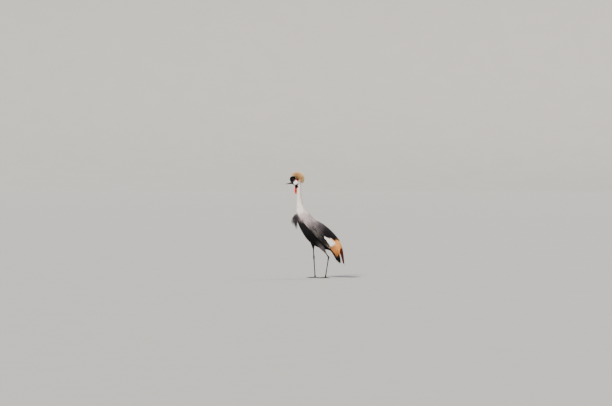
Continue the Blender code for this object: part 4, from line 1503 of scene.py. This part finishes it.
# %% Gold plumes and both wings
def gold_plumes(side, seed, plumes=170, filaments=9, stations=8):
    """Each plume is a fan of separate filaments, wider apart towards their tips."""
    draw = np.random.default_rng(seed)
    across = np.repeat(draw.uniform(0, 1, plumes), filaments)
    deep = np.repeat(draw.uniform(0, 1, plumes), filaments)
    fan = np.tile(np.linspace(-1, 1, filaments), plumes) + draw.uniform(-0.15, 0.15, plumes * filaments)
    root_t = mix(3.5, mix(4.5, 4.4, across), deep)
    root_a = mix(14, 96, across) + 0.6 * fan
    near, far = draw.uniform(1.25, 1.65, len(fan)), draw.uniform(1.45, 2.0, len(fan))
    tip_t = root_t + mix(near, far, across)
    tip_a = mix(18, 103, across) + 5.5 * fan + draw.normal(0, 1.5, len(fan))
    s = np.linspace(0, 1, stations)[None, :]
    t = root_t[:, None] + (tip_t - root_t)[:, None] * s
    angle = (root_a[:, None] + (tip_a - root_a)[:, None] * s**1.3) * -side
    rise = -7 + draw.uniform(2, 8, len(fan))[:, None] * np.sqrt(s) + 3 * np.sin(s * math.pi)
    widths = 0.9 * np.maximum(outline(stations, 0.3, 2.5), 0.1)
    tint, fringe = gold_colours(across, draw)
    return blades("wing_gold_" + letter(side), cloak.point(t, angle, rise), cloak.normal(t, angle), widths,
                  tint, fringe, spot(root_t, root_a * -side, cloak.last), ridge=0.5, thick=0.5)


for side in SIDES:
    for number, (kind, tier) in enumerate(WING.items()):
        vanes = lay_tier(f"wing_{kind}_{letter(side)}", side, tier, 40 + number)
        owners = ["wing_" + letter(side)] if kind == "lances" else []
        finish_piece(vanes, tier.finish, "wing_feathers", *owners)
    finish_piece(gold_plumes(side, 50), plume_feather, "wing_feathers")

# %% [markdown]
# The tail is short and hidden under the wings: twelve broad charcoal feathers, the middle pair on
# top, that root in the rump. They lie side by side on the tail's form, each a step lower than the
# one nearer the middle, so none cuts through its neighbour.

# %% Tail
TAIL_FEATHERS = 12
TAIL_STATIONS = 9


def tail_feathers():
    draw = np.random.default_rng(61)
    share = np.linspace(-1, 1, TAIL_FEATHERS)
    s = np.linspace(0, 1, TAIL_STATIONS)[None, :]
    t = 0.7 + (3.25 - 0.3 * np.abs(share))[:, None] * s
    row, _, up, side = tail.section(t)
    aside = share[:, None] * row[..., 5] * 0.75
    height = 6.0 * (0.5 - np.abs(share))[:, None] + 0 * s
    spine = row[..., :3] + side * aside[..., None] + up * height[..., None]
    widths = 10.0 * outline(TAIL_STATIONS, 0.35, 3.5)
    tint = varied(all_of(CHARCOAL, TAIL_FEATHERS), draw, 0.1)
    return blades("tail_feathers", spine, up, widths, tint, tint * 1.3, spot(share * 0 + 1, share * 60, 4))


finish_piece(tail_feathers(), quill_feather, "tail_feathers", "tail")

# %% [markdown]
# The crest is a fan of stiff straw-gold bristles, each a narrow ribbon twisted along its length,
# so light runs up it in flecks. They root behind the velvet cap and spread up, back and forward
# over it. A bend first out of the crown and then towards its own direction gives each its curve.
# How far they reach is a ramp over their direction, which is the outline of the crest.

# %% Crest
CREST_ROOT = np.array((-272.0, 0.0, 957.0))
CREST_GROUND = np.array((-275.0, 0.0, 962.0))  # middle of the patch the bristles grow from
CREST_GROUND_RADII = np.array((21.0, 16.0, 15.0))
CREST_COUNT = 3600
CREST_SWEEP = (-38, 149)  # degrees from straight back, over the top, to forward
CREST_REACH = ((-38, 54), (-29, 62), (13, 75), (50, 86), (98, 93), (137, 93), (149, 82))
CREST_ASIDE = 0.86  # sine of the widest lean to either side
CREST_SHORT_SHARE = 0.22  # bristles that end within the crest
CREST_TWIST = 9.0  # radians from root to tip
CREST_HALF_WIDTH = 0.66
CAP_FRONT = -298  # ahead of this x the bristles stay above the cap
CAP_CLEARANCE = 1004.0
EVEN_STEPS = (0.7549, 0.5698)  # repeated steps of this kind spread points evenly over the unwrap


def crest_bristles(stations=7):
    draw = np.random.default_rng(71)
    index = np.arange(CREST_COUNT)
    sweep = mix(*CREST_SWEEP, (index + draw.uniform(0, 1, CREST_COUNT)) / CREST_COUNT)
    aside = draw.uniform(-CREST_ASIDE, CREST_ASIDE, CREST_COUNT)
    level = np.sqrt(1 - aside * aside)
    turn = np.radians(sweep)
    way = np.stack([level * np.cos(turn), aside, level * np.sin(turn)], 1)
    is_short = draw.uniform(0, 1, CREST_COUNT) < CREST_SHORT_SHARE
    short = np.where(is_short, draw.uniform(0.4, 0.9, CREST_COUNT), 1.0)
    reach = ramp(sweep, *CREST_REACH) * (1 - 0.42 * aside * aside)
    reach = reach * draw.uniform(0.94, 1.04, CREST_COUNT) * short
    end = CREST_ROOT + way * reach[:, None]
    over_cap = np.maximum(end[:, 2], CAP_CLEARANCE + draw.uniform(0, 8, CREST_COUNT))
    end[:, 2] = np.where(end[:, 0] < CAP_FRONT, over_cap, end[:, 2])
    out = unit(way + UP * (0.6 + 0.9 * np.maximum(-way[:, :1], 0)))
    root = CREST_GROUND + CREST_GROUND_RADII * out
    bend = root + out * (0.5 * length_of(end - root))[:, None]
    s = np.linspace(0, 1, stations)[None, :, None]
    spine = root[:, None] * (1 - s) ** 2 + bend[:, None] * (2 * s * (1 - s)) + end[:, None] * s**2
    line = unit(np.gradient(spine, axis=1))
    flat = unit(np.cross(line, np.broadcast_to((0.2, 1.0, 0.1), line.shape)))
    twist = (draw.uniform(0, 6.28, CREST_COUNT)[:, None] + CREST_TWIST * s[..., 0])[..., None]
    normals = flat * np.cos(twist) + np.cross(line, flat) * np.sin(twist)
    widths = CREST_HALF_WIDTH * np.maximum(outline(stations, 0.2, 5.0, 0.6), 0.15)
    tint = blend_colours(all_of(STRAW, CREST_COUNT), PEACH, draw.uniform(0, 1, CREST_COUNT))
    tint = varied(tint, draw, 0.12)[:, None]
    dusk = np.broadcast_to(step(s[..., 0], 0.92, 1.0) * 0.3, (CREST_COUNT, stations))
    tint = blend_colours(tint, UMBER, dusk)
    spots = np.stack([(index * even) % 1 for even in EVEN_STEPS], 1)
    return blades("crest_bristles", spine, normals, widths, tint, tint * 0.95, spots, 0.0, 0.3, 0.3)


crest_finish = feather_finish("straw crest bristles", barbs=26.0, fringe=(3.0, 4.0), shaft=1.0, roughness=0.5)
crest_shader = crest_finish.node_tree.nodes["Principled BSDF"].inputs
crest_shader["Subsurface Weight"].default_value = 0.5  # light passes through so thin a bristle
crest_shader["Subsurface Scale"].default_value = 0.004
crest_shader["Subsurface Radius"].default_value = (1.0, 0.6, 0.4)
finish_piece(crest_bristles(), crest_finish, "crest_bristles", "crest")

# %% [markdown]
# The bill is two tapering half rounds that meet at the mouth line. Each section is an arc over a
# flat floor, so the two halves leave a fine dark line between them, as the real bill does. The
# nostrils are slits drawn in on both sides of the upper half, with painted shade darkening them
# as recesses.

# %% Bill
# x, z, depth above, depth below, half width
BILL = [
    (-312, 928.5, 13, 8.5, 8),
    (-326, 928.2, 12.5, 8, 7.7),
    (-342, 926.8, 10.5, 6.5, 6.6),
    (-358, 924.6, 8, 5, 5.2),
    (-374, 922.2, 5.6, 3.6, 3.6),
    (-386, 920.2, 3.4, 2.3, 2.2),
    (-391, 919.1, 1.9, 1.4, 1.3),
    (-392, 918.8, 1.2, 0.9, 0.9),
]
NOSTRIL = (-343, 931.6)
NOSTRIL_HALF = (6.5, 1.1)
MOUTH_GAP = 0.15


def nostril_share(x, z):
    """1 in the middle of the nostril's slit, which slopes down with the bill."""
    along = (x - NOSTRIL[0]) / NOSTRIL_HALF[0]
    return np.exp(-along**2 - ((z - NOSTRIL[1] - 0.12 * (x - NOSTRIL[0])) / NOSTRIL_HALF[1]) ** 2)


def bill_half(name, above):
    rows = Form(BILL, UP).at(np.linspace(0, len(BILL) - 1, 130))
    turn = np.linspace(0, math.pi, 49)
    sign = 1 if above else -1
    reach = rows[:, 3] if above else rows[:, 4]
    x = np.repeat(rows[:, :1], len(turn), 1)
    y = -rows[:, 5:6] * np.cos(turn)
    z = rows[:, 2:3] + sign * (MOUTH_GAP + reach[:, None] * np.sin(turn) ** 0.9)
    if above:
        y = y * (1 - 0.2 * nostril_share(x, z))
        z = z + 0.35 * np.exp(-((turn - math.pi / 2) / 0.3) ** 2)
    obj = loft(name, np.stack([x, y, z], -1), 40)
    places = points_of(obj)
    # painted shade: the nostril slits are darkened as the shade inside a recess
    hole = nostril_share(places[:, 0], places[:, 2]) * (1.0 if above else 0.0)
    paint(obj, "tint", blend_colours(np.ones((len(places), 3)), 0.08, step(hole, 0.3, 0.8)))
    return obj


def horn_finish():
    f = Finish("bill horn")
    along = f.add("ShaderNodeSeparateXYZ", {0: f.add("ShaderNodeTexCoord", out="Object")}, out="X")
    tip_x, root_x = (float(world((x, 0, 0))[0]) for x in (-384, -350))
    streaks = f.noise(90.0, f.place((1.0, 7.0, 7.0)), 6.0)
    colour = f.blend(f.remap(along, root_x, tip_x, 0.0, 1.0), (*HORN, 1), (*HORN_TIP, 1))
    colour = f.blend(1.0, colour, f.remap(streaks, 0.3, 0.7, 0.6, 1.3), "MULTIPLY")
    # multiplies in the painted shade of the nostrils
    colour = f.blend(1.0, colour, f.attribute("tint"), "MULTIPLY")
    f.bump(streaks, 0.0004, 0.5)
    return f.surface(colour, 0.5, Specular_IOR_Level=0.35)


horn = horn_finish()
for name, above in (("bill_upper_horn", True), ("bill_lower_horn", False)):
    finish_piece(bill_half(name, above), horn, "bill_horn", name[:10])

# %% [markdown]
# Each eye is a ball with its own map: u runs outwards from the middle of the pupil. Rings of that
# map are the pupil, the pale iris and its dark rim. A separate clear cornea over a painted disc
# would look much the same and need two more pieces, so a thin coat on the ball stands for it.

# %% Eyes
EYE_RADIUS = 8.0
EYE_SIDES = 48
EYE_RINGS = 38
EYE_FLATNESS = 0.84  # the front is flatter, so that it sits back under the lids
PUPIL = (0.22, 0.235)  # share of the quarter turn where its edge starts and ends
IRIS_END = (0.36, 0.46)


def eye_ball(side):
    """A ball whose pole looks outwards, mapped by the angle from that pole."""
    middle = (EYE[0], side * EYE[1], EYE[2])
    tilt = np.linspace(0, math.pi, EYE_RINGS + 2)[1:-1]
    turn = 2 * math.pi * np.arange(EYE_SIDES) / EYE_SIDES
    out, ring = np.cos(tilt)[:, None], np.sin(tilt)[:, None]
    bulge = 1 + 0.06 * np.clip((out - 0.8) / 0.2, 0, 1)
    out = np.where(out > 0, EYE_FLATNESS * out, out)
    offset = np.stack([ring * np.cos(turn), side * out * bulge + 0 * turn, ring * np.sin(turn)], -1)
    obj = loft("eye_ball_" + letter(side), offset * EYE_RADIUS + middle, 80)
    x, y, z = (points_of(obj) - middle).T
    share = np.degrees(np.arctan2(np.hypot(x, z), side * y)) / 90
    map_corners(obj, "Feather", np.stack([share, share], 1))
    return obj


def eye_finish():
    f = Finish("pale eye")
    share = f.add("ShaderNodeSeparateXYZ", {0: f.add("ShaderNodeUVMap", uv_map="Feather")})
    fibres = f.remap(f.noise(900.0, f.place(), 4.0), 0.3, 0.7, 0.75, 1.1)
    iris = f.blend(1.0, (*IRIS, 1), fibres, "MULTIPLY")
    rim = f.blend(f.remap(share, *IRIS_END), iris, (*BLACK, 1))
    colour = f.blend(f.remap(share, *PUPIL), (0.003, 0.003, 0.004, 1), rim)
    return f.surface(colour, 0.25, Coat_Weight=0.25, Coat_Roughness=0.08, Specular_IOR_Level=0.15)


eye_look = eye_finish()
print("eyes are", 2 * EYE_RADIUS, "mm wide")

# %% [markdown]
# The lids are one wrinkled ring of dark skin round the eye, a little longer than high. It is a
# closed ring whose thickness wavers in small folds, which reads as skin where a plain ring would
# read as a gasket.

# %% Lids
LID_RADIUS = 6.1
LID_THICKNESS = 1.35
LID_AWAY = 23.7  # distance from the middle plane
LID_HEIGHT = 0.88  # height as a share of length
LID_STEPS = 72
LID_SIDES = 14


def lid_ring(side):
    turn = 2 * math.pi * np.arange(LID_STEPS)[:, None] / LID_STEPS
    tilt = 2 * math.pi * np.arange(LID_SIDES)[None, :] / LID_SIDES
    folds = 1 + 0.08 * np.sin(3 * tilt) + 0.05 * np.sin(turn * 18)
    reach = LID_RADIUS + LID_THICKNESS * np.cos(tilt) * folds
    out = LID_AWAY + LID_THICKNESS * 0.9 * np.sin(tilt) * folds - 0.05 * reach + 0.7 * np.sin(turn)
    x, z = EYE[0] + reach * np.cos(turn), EYE[2] + LID_HEIGHT * reach * np.sin(turn)
    points = np.stack([x, side * out + 0 * turn, z], -1)
    index = np.arange(LID_STEPS * LID_SIDES).reshape(LID_STEPS, LID_SIDES)
    across, along = np.roll(index, -1, 1), np.roll(index, -1, 0)
    faces = np.stack([index, across, np.roll(along, -1, 1), along], -1).reshape(-1, 4).tolist()
    return outward(mesh_object("eye_lids_" + letter(side), points.reshape(-1, 3), faces, 80))


def lid_finish():
    f = Finish("dark eyelid skin")
    folds = f.cells(900.0, f.place())
    colour = f.blend(f.remap(folds, 0.0, 0.6), (*BLACK, 1), (*CHARCOAL, 1))
    f.bump(folds, 0.0003, 0.6)
    return f.surface(colour, 0.6, Specular_IOR_Level=0.15)


lid_look = lid_finish()
for side in SIDES:
    finish_piece(eye_ball(side), eye_look, "eyes", "eye_" + letter(side))
    finish_piece(lid_ring(side), lid_look, "cap_feathers")

# %% [markdown]
# The wattle is a soft red bag of bare skin under the throat. Its surface is finely warted, which
# is real relief on a dense loft, and its foot turns paler. Its rear, turned to the neck, is darkened
# with painted shade.

# %% Wattle
# x, z, depth ahead, depth behind, half width
WATTLE = [
    (-290, 908, 7, 7, 6),
    (-290.5, 893, 9, 8.5, 7),
    (-291, 872, 12, 11.5, 9),
    (-291, 850, 12.5, 12, 9.5),
    (-290.5, 834, 10, 9.5, 8),
    (-290, 825, 6, 6, 5),
    (-289.5, 822, 2.5, 2.5, 2.2),
]


def wattle():
    form = Form(WATTLE, AHEAD)
    t, angle = form.grid(130, 72)
    warts = np.sin(t * 26 + 2 * np.sin(np.radians(angle) * 3)) * np.sin(np.radians(angle) * 15 + t * 5)
    fold = np.cos(np.radians(angle) * 2) * np.sin(t * 2.1)
    return loft("wattle_skin", form.point(t, angle, 0.22 * warts + 0.5 * fold - 0.6), 80)


def wattle_finish():
    f = Finish("wattle skin")
    split = f.add("ShaderNodeSeparateXYZ", {0: f.add("ShaderNodeTexCoord", out="Object")})
    height = split.node.outputs["Z"]
    wander = f.remap(f.noise(90.0, f.place()), 0.3, 0.7, -0.004, 0.004)
    pale = f.remap(f.math("ADD", height, wander), 0.824, 0.846, 1.0, 0.0)
    colour = f.blend(pale, (*CRIMSON, 1), (*CORAL, 1))
    # painted shade: towards its rear, against the neck, the wattle darkens to a deep maroon
    rear = float(world((-282, 0, 0))[0])
    colour = f.blend(f.remap(split, rear, rear + 0.006, 0.0, 0.6), colour, (0.06, 0.006, 0.006, 1))
    colour = f.blend(1.0, colour, f.remap(f.noise(300.0, f.place()), 0.3, 0.7, 0.75, 1.15), "MULTIPLY")
    f.bump(f.cells(650.0, f.place()), 0.0004, 0.7)
    return f.surface(colour, 0.5, Subsurface_Weight=0.05, Subsurface_Scale=0.003, Specular_IOR_Level=0.3)


finish_piece(wattle(), wattle_finish(), "wattle_skin", "wattle")

# %% [markdown]
# Small horny scales cover the bare leg. Bump alone would leave the outline of the leg smooth, so
# the scales are real relief: a rule that swells each point of the loft a little, in rows that are
# staggered like bricks.


# %% Scaly lofts
def reticulate(t, angle, cell=7.0):
    """Small rounded scales as relief, staggered row by row."""
    row = np.sin(t * math.pi)
    return np.abs(row) ** 0.5 * np.abs(np.cos(np.radians(angle) * cell + np.floor(t) * math.pi / 2)) ** 0.5


def leg_loft(name, rows, rings, sides, scale_length, relief=0.35):
    form = limb_form(rows)
    t, angle = form.grid(rings, sides)
    path = np.concatenate([[0], np.cumsum(length_of(np.diff(form.at(t[:, 0])[:, :3], axis=0)))])
    bumps = reticulate(path[:, None] / scale_length, angle)
    return loft(name, form.point(t, angle, relief * (bumps - 1)), 70)


print("relief of a scale at its middle and its edge", reticulate(0.5, 0.0), reticulate(1.0, 0.0).round(3))

# %% [markdown]
# The foot has three long toes ahead and a short raised one behind. A toe is a thin loft with
# knuckles that taper to the claw, cut flat where it stands, so that the bird rests on the floor
# and not in it.

# %% Toes
# name, length, degrees from straight ahead, outwards
TOES = (("middle", 72, 4), ("outer", 57, 38), ("inner", 54, -32), ("hind", 34, 178))
TOE_RADIUS = 5.4
TOE_TAPER = ((0.0, 1.1), (0.25, 0.95), (0.5, 0.92), (0.75, 0.8), (1.0, 0.62))
SCUTE_LENGTH = 4.4


def on_floor(points):
    """Cuts points off flat at the floor."""
    points[..., 2] = np.maximum(points[..., 2], 0)
    return points


def toe_way(leg, degrees):
    turn = math.radians(degrees) * leg.side
    return np.array((-math.cos(turn), math.sin(turn), 0.0))


def toe_stations(leg, length, way):
    rows = []
    for share, radius in TOE_TAPER:
        centre = leg.foot + way * (length * share)
        r = TOE_RADIUS * radius
        rows.append((centre[0], centre[1], r * 0.86, r, r, r))
    return rows


def toe_loft(leg, length, degrees):
    """A toe with knuckles, and flat pads under it on the floor."""
    form = Form(toe_stations(leg, length, toe_way(leg, degrees)), UP)
    t, angle = form.grid(int(length), 24)
    knuckles = 0.5 * np.cos(t * math.pi * 1.5)
    above = np.clip(np.cos(np.radians(angle)), 0, 1)
    scutes = 0.3 * np.abs(np.sin(t * length / SCUTE_LENGTH * math.pi / form.last)) * above
    return loft("toe", on_floor(form.point(t, angle, knuckles + scutes - 0.4)), 60)


print("toes", len(TOES), "of", [length for _, length, _ in TOES], "mm")

# %% [markdown]
# Above the toes come a round pad, the long tarsus, the knobbed ankle, which bends the other way
# from a knee, and the slim shank that goes up into the feathers. Each is a loft through a few
# stations between the leg's own points, and all of them are fused with the toes into one leg.

# %% Bare legs
SHANK_OVERLAP = 0.05  # how far the shank starts inside the feathers
# share of the way down, depth fore and aft, half width
SHANK_LOWER = ((0.86, 5.5, 5.7), (0.95, 6.6, 7.6))
SHANK_END = (7.6, 8.6)
TARSUS = ((0.0, 8.4, 9.6), (0.05, 8.0, 8.6), (0.11, 6.8, 6.8), (0.2, 5.5, 5.5), (0.55, 5.0, 5.0),
          (0.86, 5.5, 5.8), (0.95, 7.4, 8.6))
# height above the ankle, depth fore and aft, half width
KNOB = ((10.4, 1.0, 1.0), (8, 6.2, 6.4), (0, 9.0, 9.8), (-8, 6.2, 6.4), (-10.4, 1.0, 1.0))
PAD_TOP = 0.93  # share of the way down the tarsus
SCALE_LENGTH = 3.2


def bare_leg(leg):
    shank = [(mix(leg.knee, leg.ankle, share), fore, wide)
             for share, fore, wide in ((leg.feather_end - SHANK_OVERLAP, 6.2, 6.2), *SHANK_LOWER)]
    shank.append((leg.ankle, *SHANK_END))
    tarsus = [(mix(leg.ankle, leg.foot, share), fore, wide) for share, fore, wide in TARSUS]
    knob = limb_form([(leg.ankle + UP * height, fore, wide) for height, fore, wide in KNOB])
    down = unit(leg.foot - leg.ankle)
    pad_top = mix(leg.ankle, leg.foot, PAD_TOP)
    pad = limb_form([(pad_top, 6.8, 8.0), (pad_top + down * 8, 8.2, 9.6),
                     (pad_top + down * 14, 8.8, 10.2), (leg.foot + down * 7, 8.2, 9.6)])
    pieces = [
        leg_loft("tarsus", tarsus, 230, 40, SCALE_LENGTH),
        leg_loft("shank", shank, 70, 40, SCALE_LENGTH),
        loft("knob", form_rings(knob, np.linspace(0, knob.last, 30), 36)),
        loft("pad", on_floor(pad.point(*pad.grid(26, 36), -0.1))),
    ]
    pieces += [toe_loft(leg, length, degrees) for _, length, degrees in TOES]
    return fuse("leg_" + letter(leg.side), pieces)


def scale_finish():
    f = Finish("leg scales")
    where = f.place((1.0, 1.0, 0.6))
    plates = f.cells(330.0, where)
    grooves = f.remap(f.cells(330.0, where, "DISTANCE_TO_EDGE"), 0.0, 0.12)
    colour = f.blend(grooves, (*BLACK, 1), (*SCALE, 1))
    colour = f.blend(f.remap(f.noise(40.0, f.place()), 0.45, 0.75, 0.0, 0.6), colour, (*SCALE_WORN, 1))
    f.bump(plates, 0.0005, 0.6)
    return f.surface(colour, 0.55, Specular_IOR_Level=0.4)


scales = scale_finish()
print("a tarsus has", len(TARSUS), "stations")

# %% [markdown]
# A crane walks on its claws and wears them blunt. Each is a short loft that starts inside the end
# of its toe, curves down to the floor and stays a piece of its own, since horn shines and skin
# doesn't.

# %% Claws and both feet
CLAW_LENGTH = 15.0
# share of the length, size and drop as shares of the toe's radius
CLAW_CURVE = ((0, 0.95, 0), (0.35, 0.8, 0.02), (0.7, 0.5, 0.25), (0.93, 0.2, 0.62), (1, 0.06, 0.74))
CLAW_OVERLAP = 0.6


def claw_points(leg, length, degrees):
    way = toe_way(leg, degrees)
    x, y, z, radius, _, _ = toe_stations(leg, length, way)[-1]
    rows = []
    for share, size, drop in CLAW_CURVE:
        place = np.array((x, y, z)) + way * (CLAW_LENGTH * share - CLAW_OVERLAP) - UP * (radius * drop)
        rows.append((*place, radius * size, radius * size, radius * size * 0.8))
    form = Form(rows, UP)
    return on_floor(form.point(*form.grid(24, 20)))


def claw_finish():
    f = Finish("claw horn")
    colour = f.blend(f.noise(90.0, f.place((1, 4, 1))), (*BLACK, 1), (*HORN, 1))
    return f.surface(colour, 0.35, Coat_Weight=0.2, Coat_Roughness=0.3)


claw_look = claw_finish()
for leg in LEGS:
    end = letter(leg.side)
    finish_piece(bare_leg(leg), scales, "leg_scales", "shank_" + end, "tarsus_" + end, "foot_" + end)
    for toe, length, degrees in TOES:
        claw = loft(f"claw_{end}_{toe}_horn", claw_points(leg, length, degrees), 60)
        finish_piece(claw, claw_look, "claw_horn", f"claw_{end}_{toe}")

# %% [markdown]
# The large plates down the front of the tarsus and along the top of each toe overlap like tiles.
# A second Geometry Nodes tree lays them: it repeats one curved plate along a path, square to it,
# and scales it to the leg's radius there. One tree does for every path, whatever its length.

# %% Plate tree
def plate_tree():
    tree = Tree("plates along a path", Plate="Object", Material="Material", Spacing="Float")
    curve = tree.add("GeometryNodeMeshToCurve", {"Mesh": tree.inputs["Geometry"]})
    even = tree.add("GeometryNodeResampleCurve", {"Curve": curve, "Length": tree.inputs["Spacing"]},
                    mode="LENGTH")
    tangent = tree.add("GeometryNodeInputTangent")
    along = tree.add("FunctionNodeAlignRotationToVector", {"Vector": tangent}, axis="Y")
    facing = tree.add("FunctionNodeAlignRotationToVector", {
        "Rotation": along, "Vector": tree.named("facing", "FLOAT_VECTOR")}, axis="Z", pivot_axis="Y")
    plate = tree.add("GeometryNodeObjectInfo", {"Object": tree.inputs["Plate"]}, out="Geometry")
    return tree.end(tree.add("GeometryNodeInstanceOnPoints", {
        "Points": even, "Instance": plate, "Rotation": facing, "Scale": tree.named("size")}))


plates = plate_tree()

# %% [markdown]
# The plate itself is an arc over a round leg, thin at its upper edge and raised at its lower one.
# A path is a plain line of points that carries two attributes: the way its plates face and their
# size. With a few dozen faces a plate can be repeated hundreds of times.

# %% One plate and its path
PLATE_RADIUS = 5.2
PLATE_LENGTH = 4.1
PLATE_PITCH = 3.5
PLATE_DEPTH = 0.4  # how far its inner side lies under the skin of the leg
PLATE_ARC = 62  # degrees to each side
PLATE_HEIGHTS = ((-0.5, 0.1), (-0.3, 0.3), (0.1, 0.42), (0.38, 0.5), (0.5, 0.2))  # along, height


def plate_object():
    arc = np.radians(np.linspace(-PLATE_ARC, PLATE_ARC, 9))

    def bow(radius, share):
        turn = arc * (1 - 0.25 * abs(share) ** 2)
        along = np.full(len(arc), share * PLATE_LENGTH)
        return np.stack([radius * np.sin(turn), along, radius * np.cos(turn) - PLATE_RADIUS], 1)

    rings = [np.vstack([bow(PLATE_RADIUS + height, share), bow(PLATE_RADIUS - PLATE_DEPTH, share)[::-1]])
             for share, height in PLATE_HEIGHTS]
    return loft("plate", np.array(rings) - (shift, 0, 0), 50)


def path_object(points, facing, size):
    """A line of points as a mesh, with the way its plates face and their size."""
    path = mesh_object("path", points, [])
    path.data.edges.add(len(points) - 1)
    start = np.arange(len(points) - 1)
    path.data.edges.foreach_set("vertices", np.stack([start, start + 1], 1).ravel())
    store(path, "facing", "FLOAT_VECTOR", facing)
    store(path, "size", "FLOAT", size)
    return path


print("plates", PLATE_LENGTH, "mm long overlap by", round(PLATE_LENGTH - PLATE_PITCH, 1), "mm")

# %% [markdown]
# Each leg has five paths: one down the front of the tarsus and one along the top of each toe. What
# the tree makes along them is joined into one piece for each leg, because fewer pieces are
# quicker to handle and nothing moves between them.

# %% Leg plates
SHIN_RADII = ((0.09, 7.0), (0.2, 5.5), (0.55, 5.0), (0.86, 5.5), (0.93, 7.0))
SHIN_SUNK = 0.45  # how far the plates' path lies inside the skin
TOE_TOP = 1.86  # height of a toe's upper side as a share of its radius
TOE_SUNK = 0.75
TOE_PLATE_SIZE = 0.92


def plate_paths(leg):
    """Points, facings and sizes down the tarsus and along the toes."""
    down = unit(leg.foot - leg.ankle)
    front = unit(AHEAD - down * float(dot(AHEAD, down)[0]))
    share = np.linspace(SHIN_RADII[0][0], SHIN_RADII[-1][0], 30)
    radius = ramp(share, *SHIN_RADII)
    middle = leg.ankle + (leg.foot - leg.ankle) * share[:, None]
    yield middle + front * (radius - SHIN_SUNK)[:, None], all_of(front, 30), radius / PLATE_RADIUS
    for _, length, degrees in TOES:
        way = toe_way(leg, degrees)
        share = np.linspace(0.2, 0.97, 12)
        rows = np.array(toe_stations(leg, length, way))
        radius = np.interp(share, np.linspace(0, 1, len(rows)), rows[:, 3])
        place = leg.foot + way * (length * share)[:, None]
        place[:, 2] = radius * TOE_TOP - TOE_SUNK
        yield place, all_of(UP, 12), radius * TOE_PLATE_SIZE / PLATE_RADIUS


def leg_plates(leg):
    """Plates down one tarsus and along its toes, joined into one piece."""
    made = []
    for points, facing, size in plate_paths(leg):
        plate = plate_object()
        made.append(plates.run(path_object(points, facing, size), "plates", Plate=plate, Material=scales,
                               Spacing=PLATE_PITCH * MM))
        bpy.data.objects.remove(plate)
    joined = bmesh.new()
    for piece in made:
        joined.from_mesh(piece.data)
    mesh = bpy.data.meshes.new("leg plates")
    joined.to_mesh(mesh)
    joined.free()
    for piece in made:
        bpy.data.objects.remove(piece)
    obj = linked("leg_plates_" + letter(leg.side), mesh)
    for name in ("facing", "size"):
        mesh.attributes.remove(mesh.attributes[name])
    return obj


for leg in LEGS:
    finish_piece(leg_plates(leg), scales, "leg_scales")

# %% [markdown]
# The stage is a round pale floor that curves up into a low wall all round, so that no edge shows.
# It is wider than the camera is far away, so the floor looks the same from every side and never
# stands between the camera and the bird.

# %% Stage
FLOOR_RADIUS = 52.0  # metres
WALL_CURVE = 10.0


def stage_floor(turns=96, rises=16):
    """A round floor that curves up into a low wall all round."""
    slopes = np.linspace(0, math.pi / 2, rises)
    profile = [(FLOOR_RADIUS / 2, 0.0)]
    profile += [(FLOOR_RADIUS + WALL_CURVE * math.sin(a), WALL_CURVE * (1 - math.cos(a))) for a in slopes]
    around = [(math.cos(a), math.sin(a)) for a in np.linspace(0, 2 * math.pi, turns, endpoint=False)]
    points = [(r * x, r * y, z) for r, z in profile for x, y in around]
    faces = [tuple(range(turns))]
    for ring in range(rises):
        low, high = ring * turns, (ring + 1) * turns
        faces += [(low + i, high + i, high + (i + 1) % turns, low + (i + 1) % turns) for i in range(turns)]
    mesh = bpy.data.meshes.new("floor")
    mesh.from_pydata(points, [], faces)
    mesh.shade_smooth()
    floor = linked("floor", mesh)
    f = Finish("pale floor")
    colour = f.blend(f.noise(2.0, f.place(), 4.0), (0.34, 0.335, 0.325, 1), (0.37, 0.365, 0.355, 1))
    mesh.materials.append(f.surface(colour, 0.85))
    floor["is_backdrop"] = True


stage_floor()
print("floor", 2 * FLOOR_RADIUS, "m across")

# %% [markdown]
# The photo was taken from a long way off with a long lens, level with a standing person, which
# flattens the bird to a side view. The camera repeats that: its distance follows from the scale of
# the photo, in which one pixel covers 9.8 mm of the bird.

# %% Camera
PHOTO_WIDTH = 612
MM_PER_PIXEL = 9.8
SENSOR = 36.0
LENS = 240.0
CAMERA_HEIGHT = 1.5
AIM = world((-191, 0, 735))  # what the middle of the photo looks at

distance = MM_PER_PIXEL * MM * PHOTO_WIDTH * LENS / SENSOR
camera_data = bpy.data.cameras.new("camera")
camera_data.lens = LENS
camera_data.sensor_width = SENSOR
camera_data.clip_end = 300.0
camera = linked("camera", camera_data)
camera.location = (AIM[0], -distance, CAMERA_HEIGHT)
camera.rotation_euler = (Vector(AIM) - camera.location).to_track_quat("-Z", "Y").to_euler()
bpy.context.scene.camera = camera
print("camera", round(distance, 2), "m away")

# %% [markdown]
# Soft studio light: one large lamp high on the camera's left, as the sun stood in the photo, a
# weaker fill from the right, a rim light behind and a pale sky all round. Suns are used for the
# lamps, because their light is equally strong on every part of the bird.


# %% Light
def sun(name, place, strength, colour, spread):
    """Parallel light that comes from a place, as soft as a lamp that covers spread degrees."""
    data = bpy.data.lights.new(name, "SUN")
    data.energy = strength
    data.color = colour
    data.angle = math.radians(spread)
    obj = linked(name, data)
    obj.rotation_euler = (-Vector(place)).to_track_quat("-Z", "Y").to_euler()


sun("key", (-5.0, -7.0, 8.5), 7.2, (1.0, 0.93, 0.84), 8.0)
sun("fill", (8.0, -6.0, 3.0), 0.55, (0.85, 0.92, 1.0), 40.0)
sun("rim", (5.0, 6.0, 7.0), 1.4, (1.0, 0.96, 0.9), 12.0)
sky = bpy.data.worlds.new("sky")
sky.use_nodes = True
background = sky.node_tree.nodes["Background"].inputs
background["Color"].default_value = (0.84, 0.9, 1.0, 1)
background["Strength"].default_value = 0.5
bpy.context.scene.world = sky

# %% [markdown]
# Last, the boxes of the solids and of the dressed bird are measured and printed side by side,
# which shows how far the feathers stand proud of the solids.

# %% Sizes
low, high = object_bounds()
sizes = {"cad": [list(cad_low), list(cad_high)], "visual": [list(low), list(high)]}
print("box", sizes)
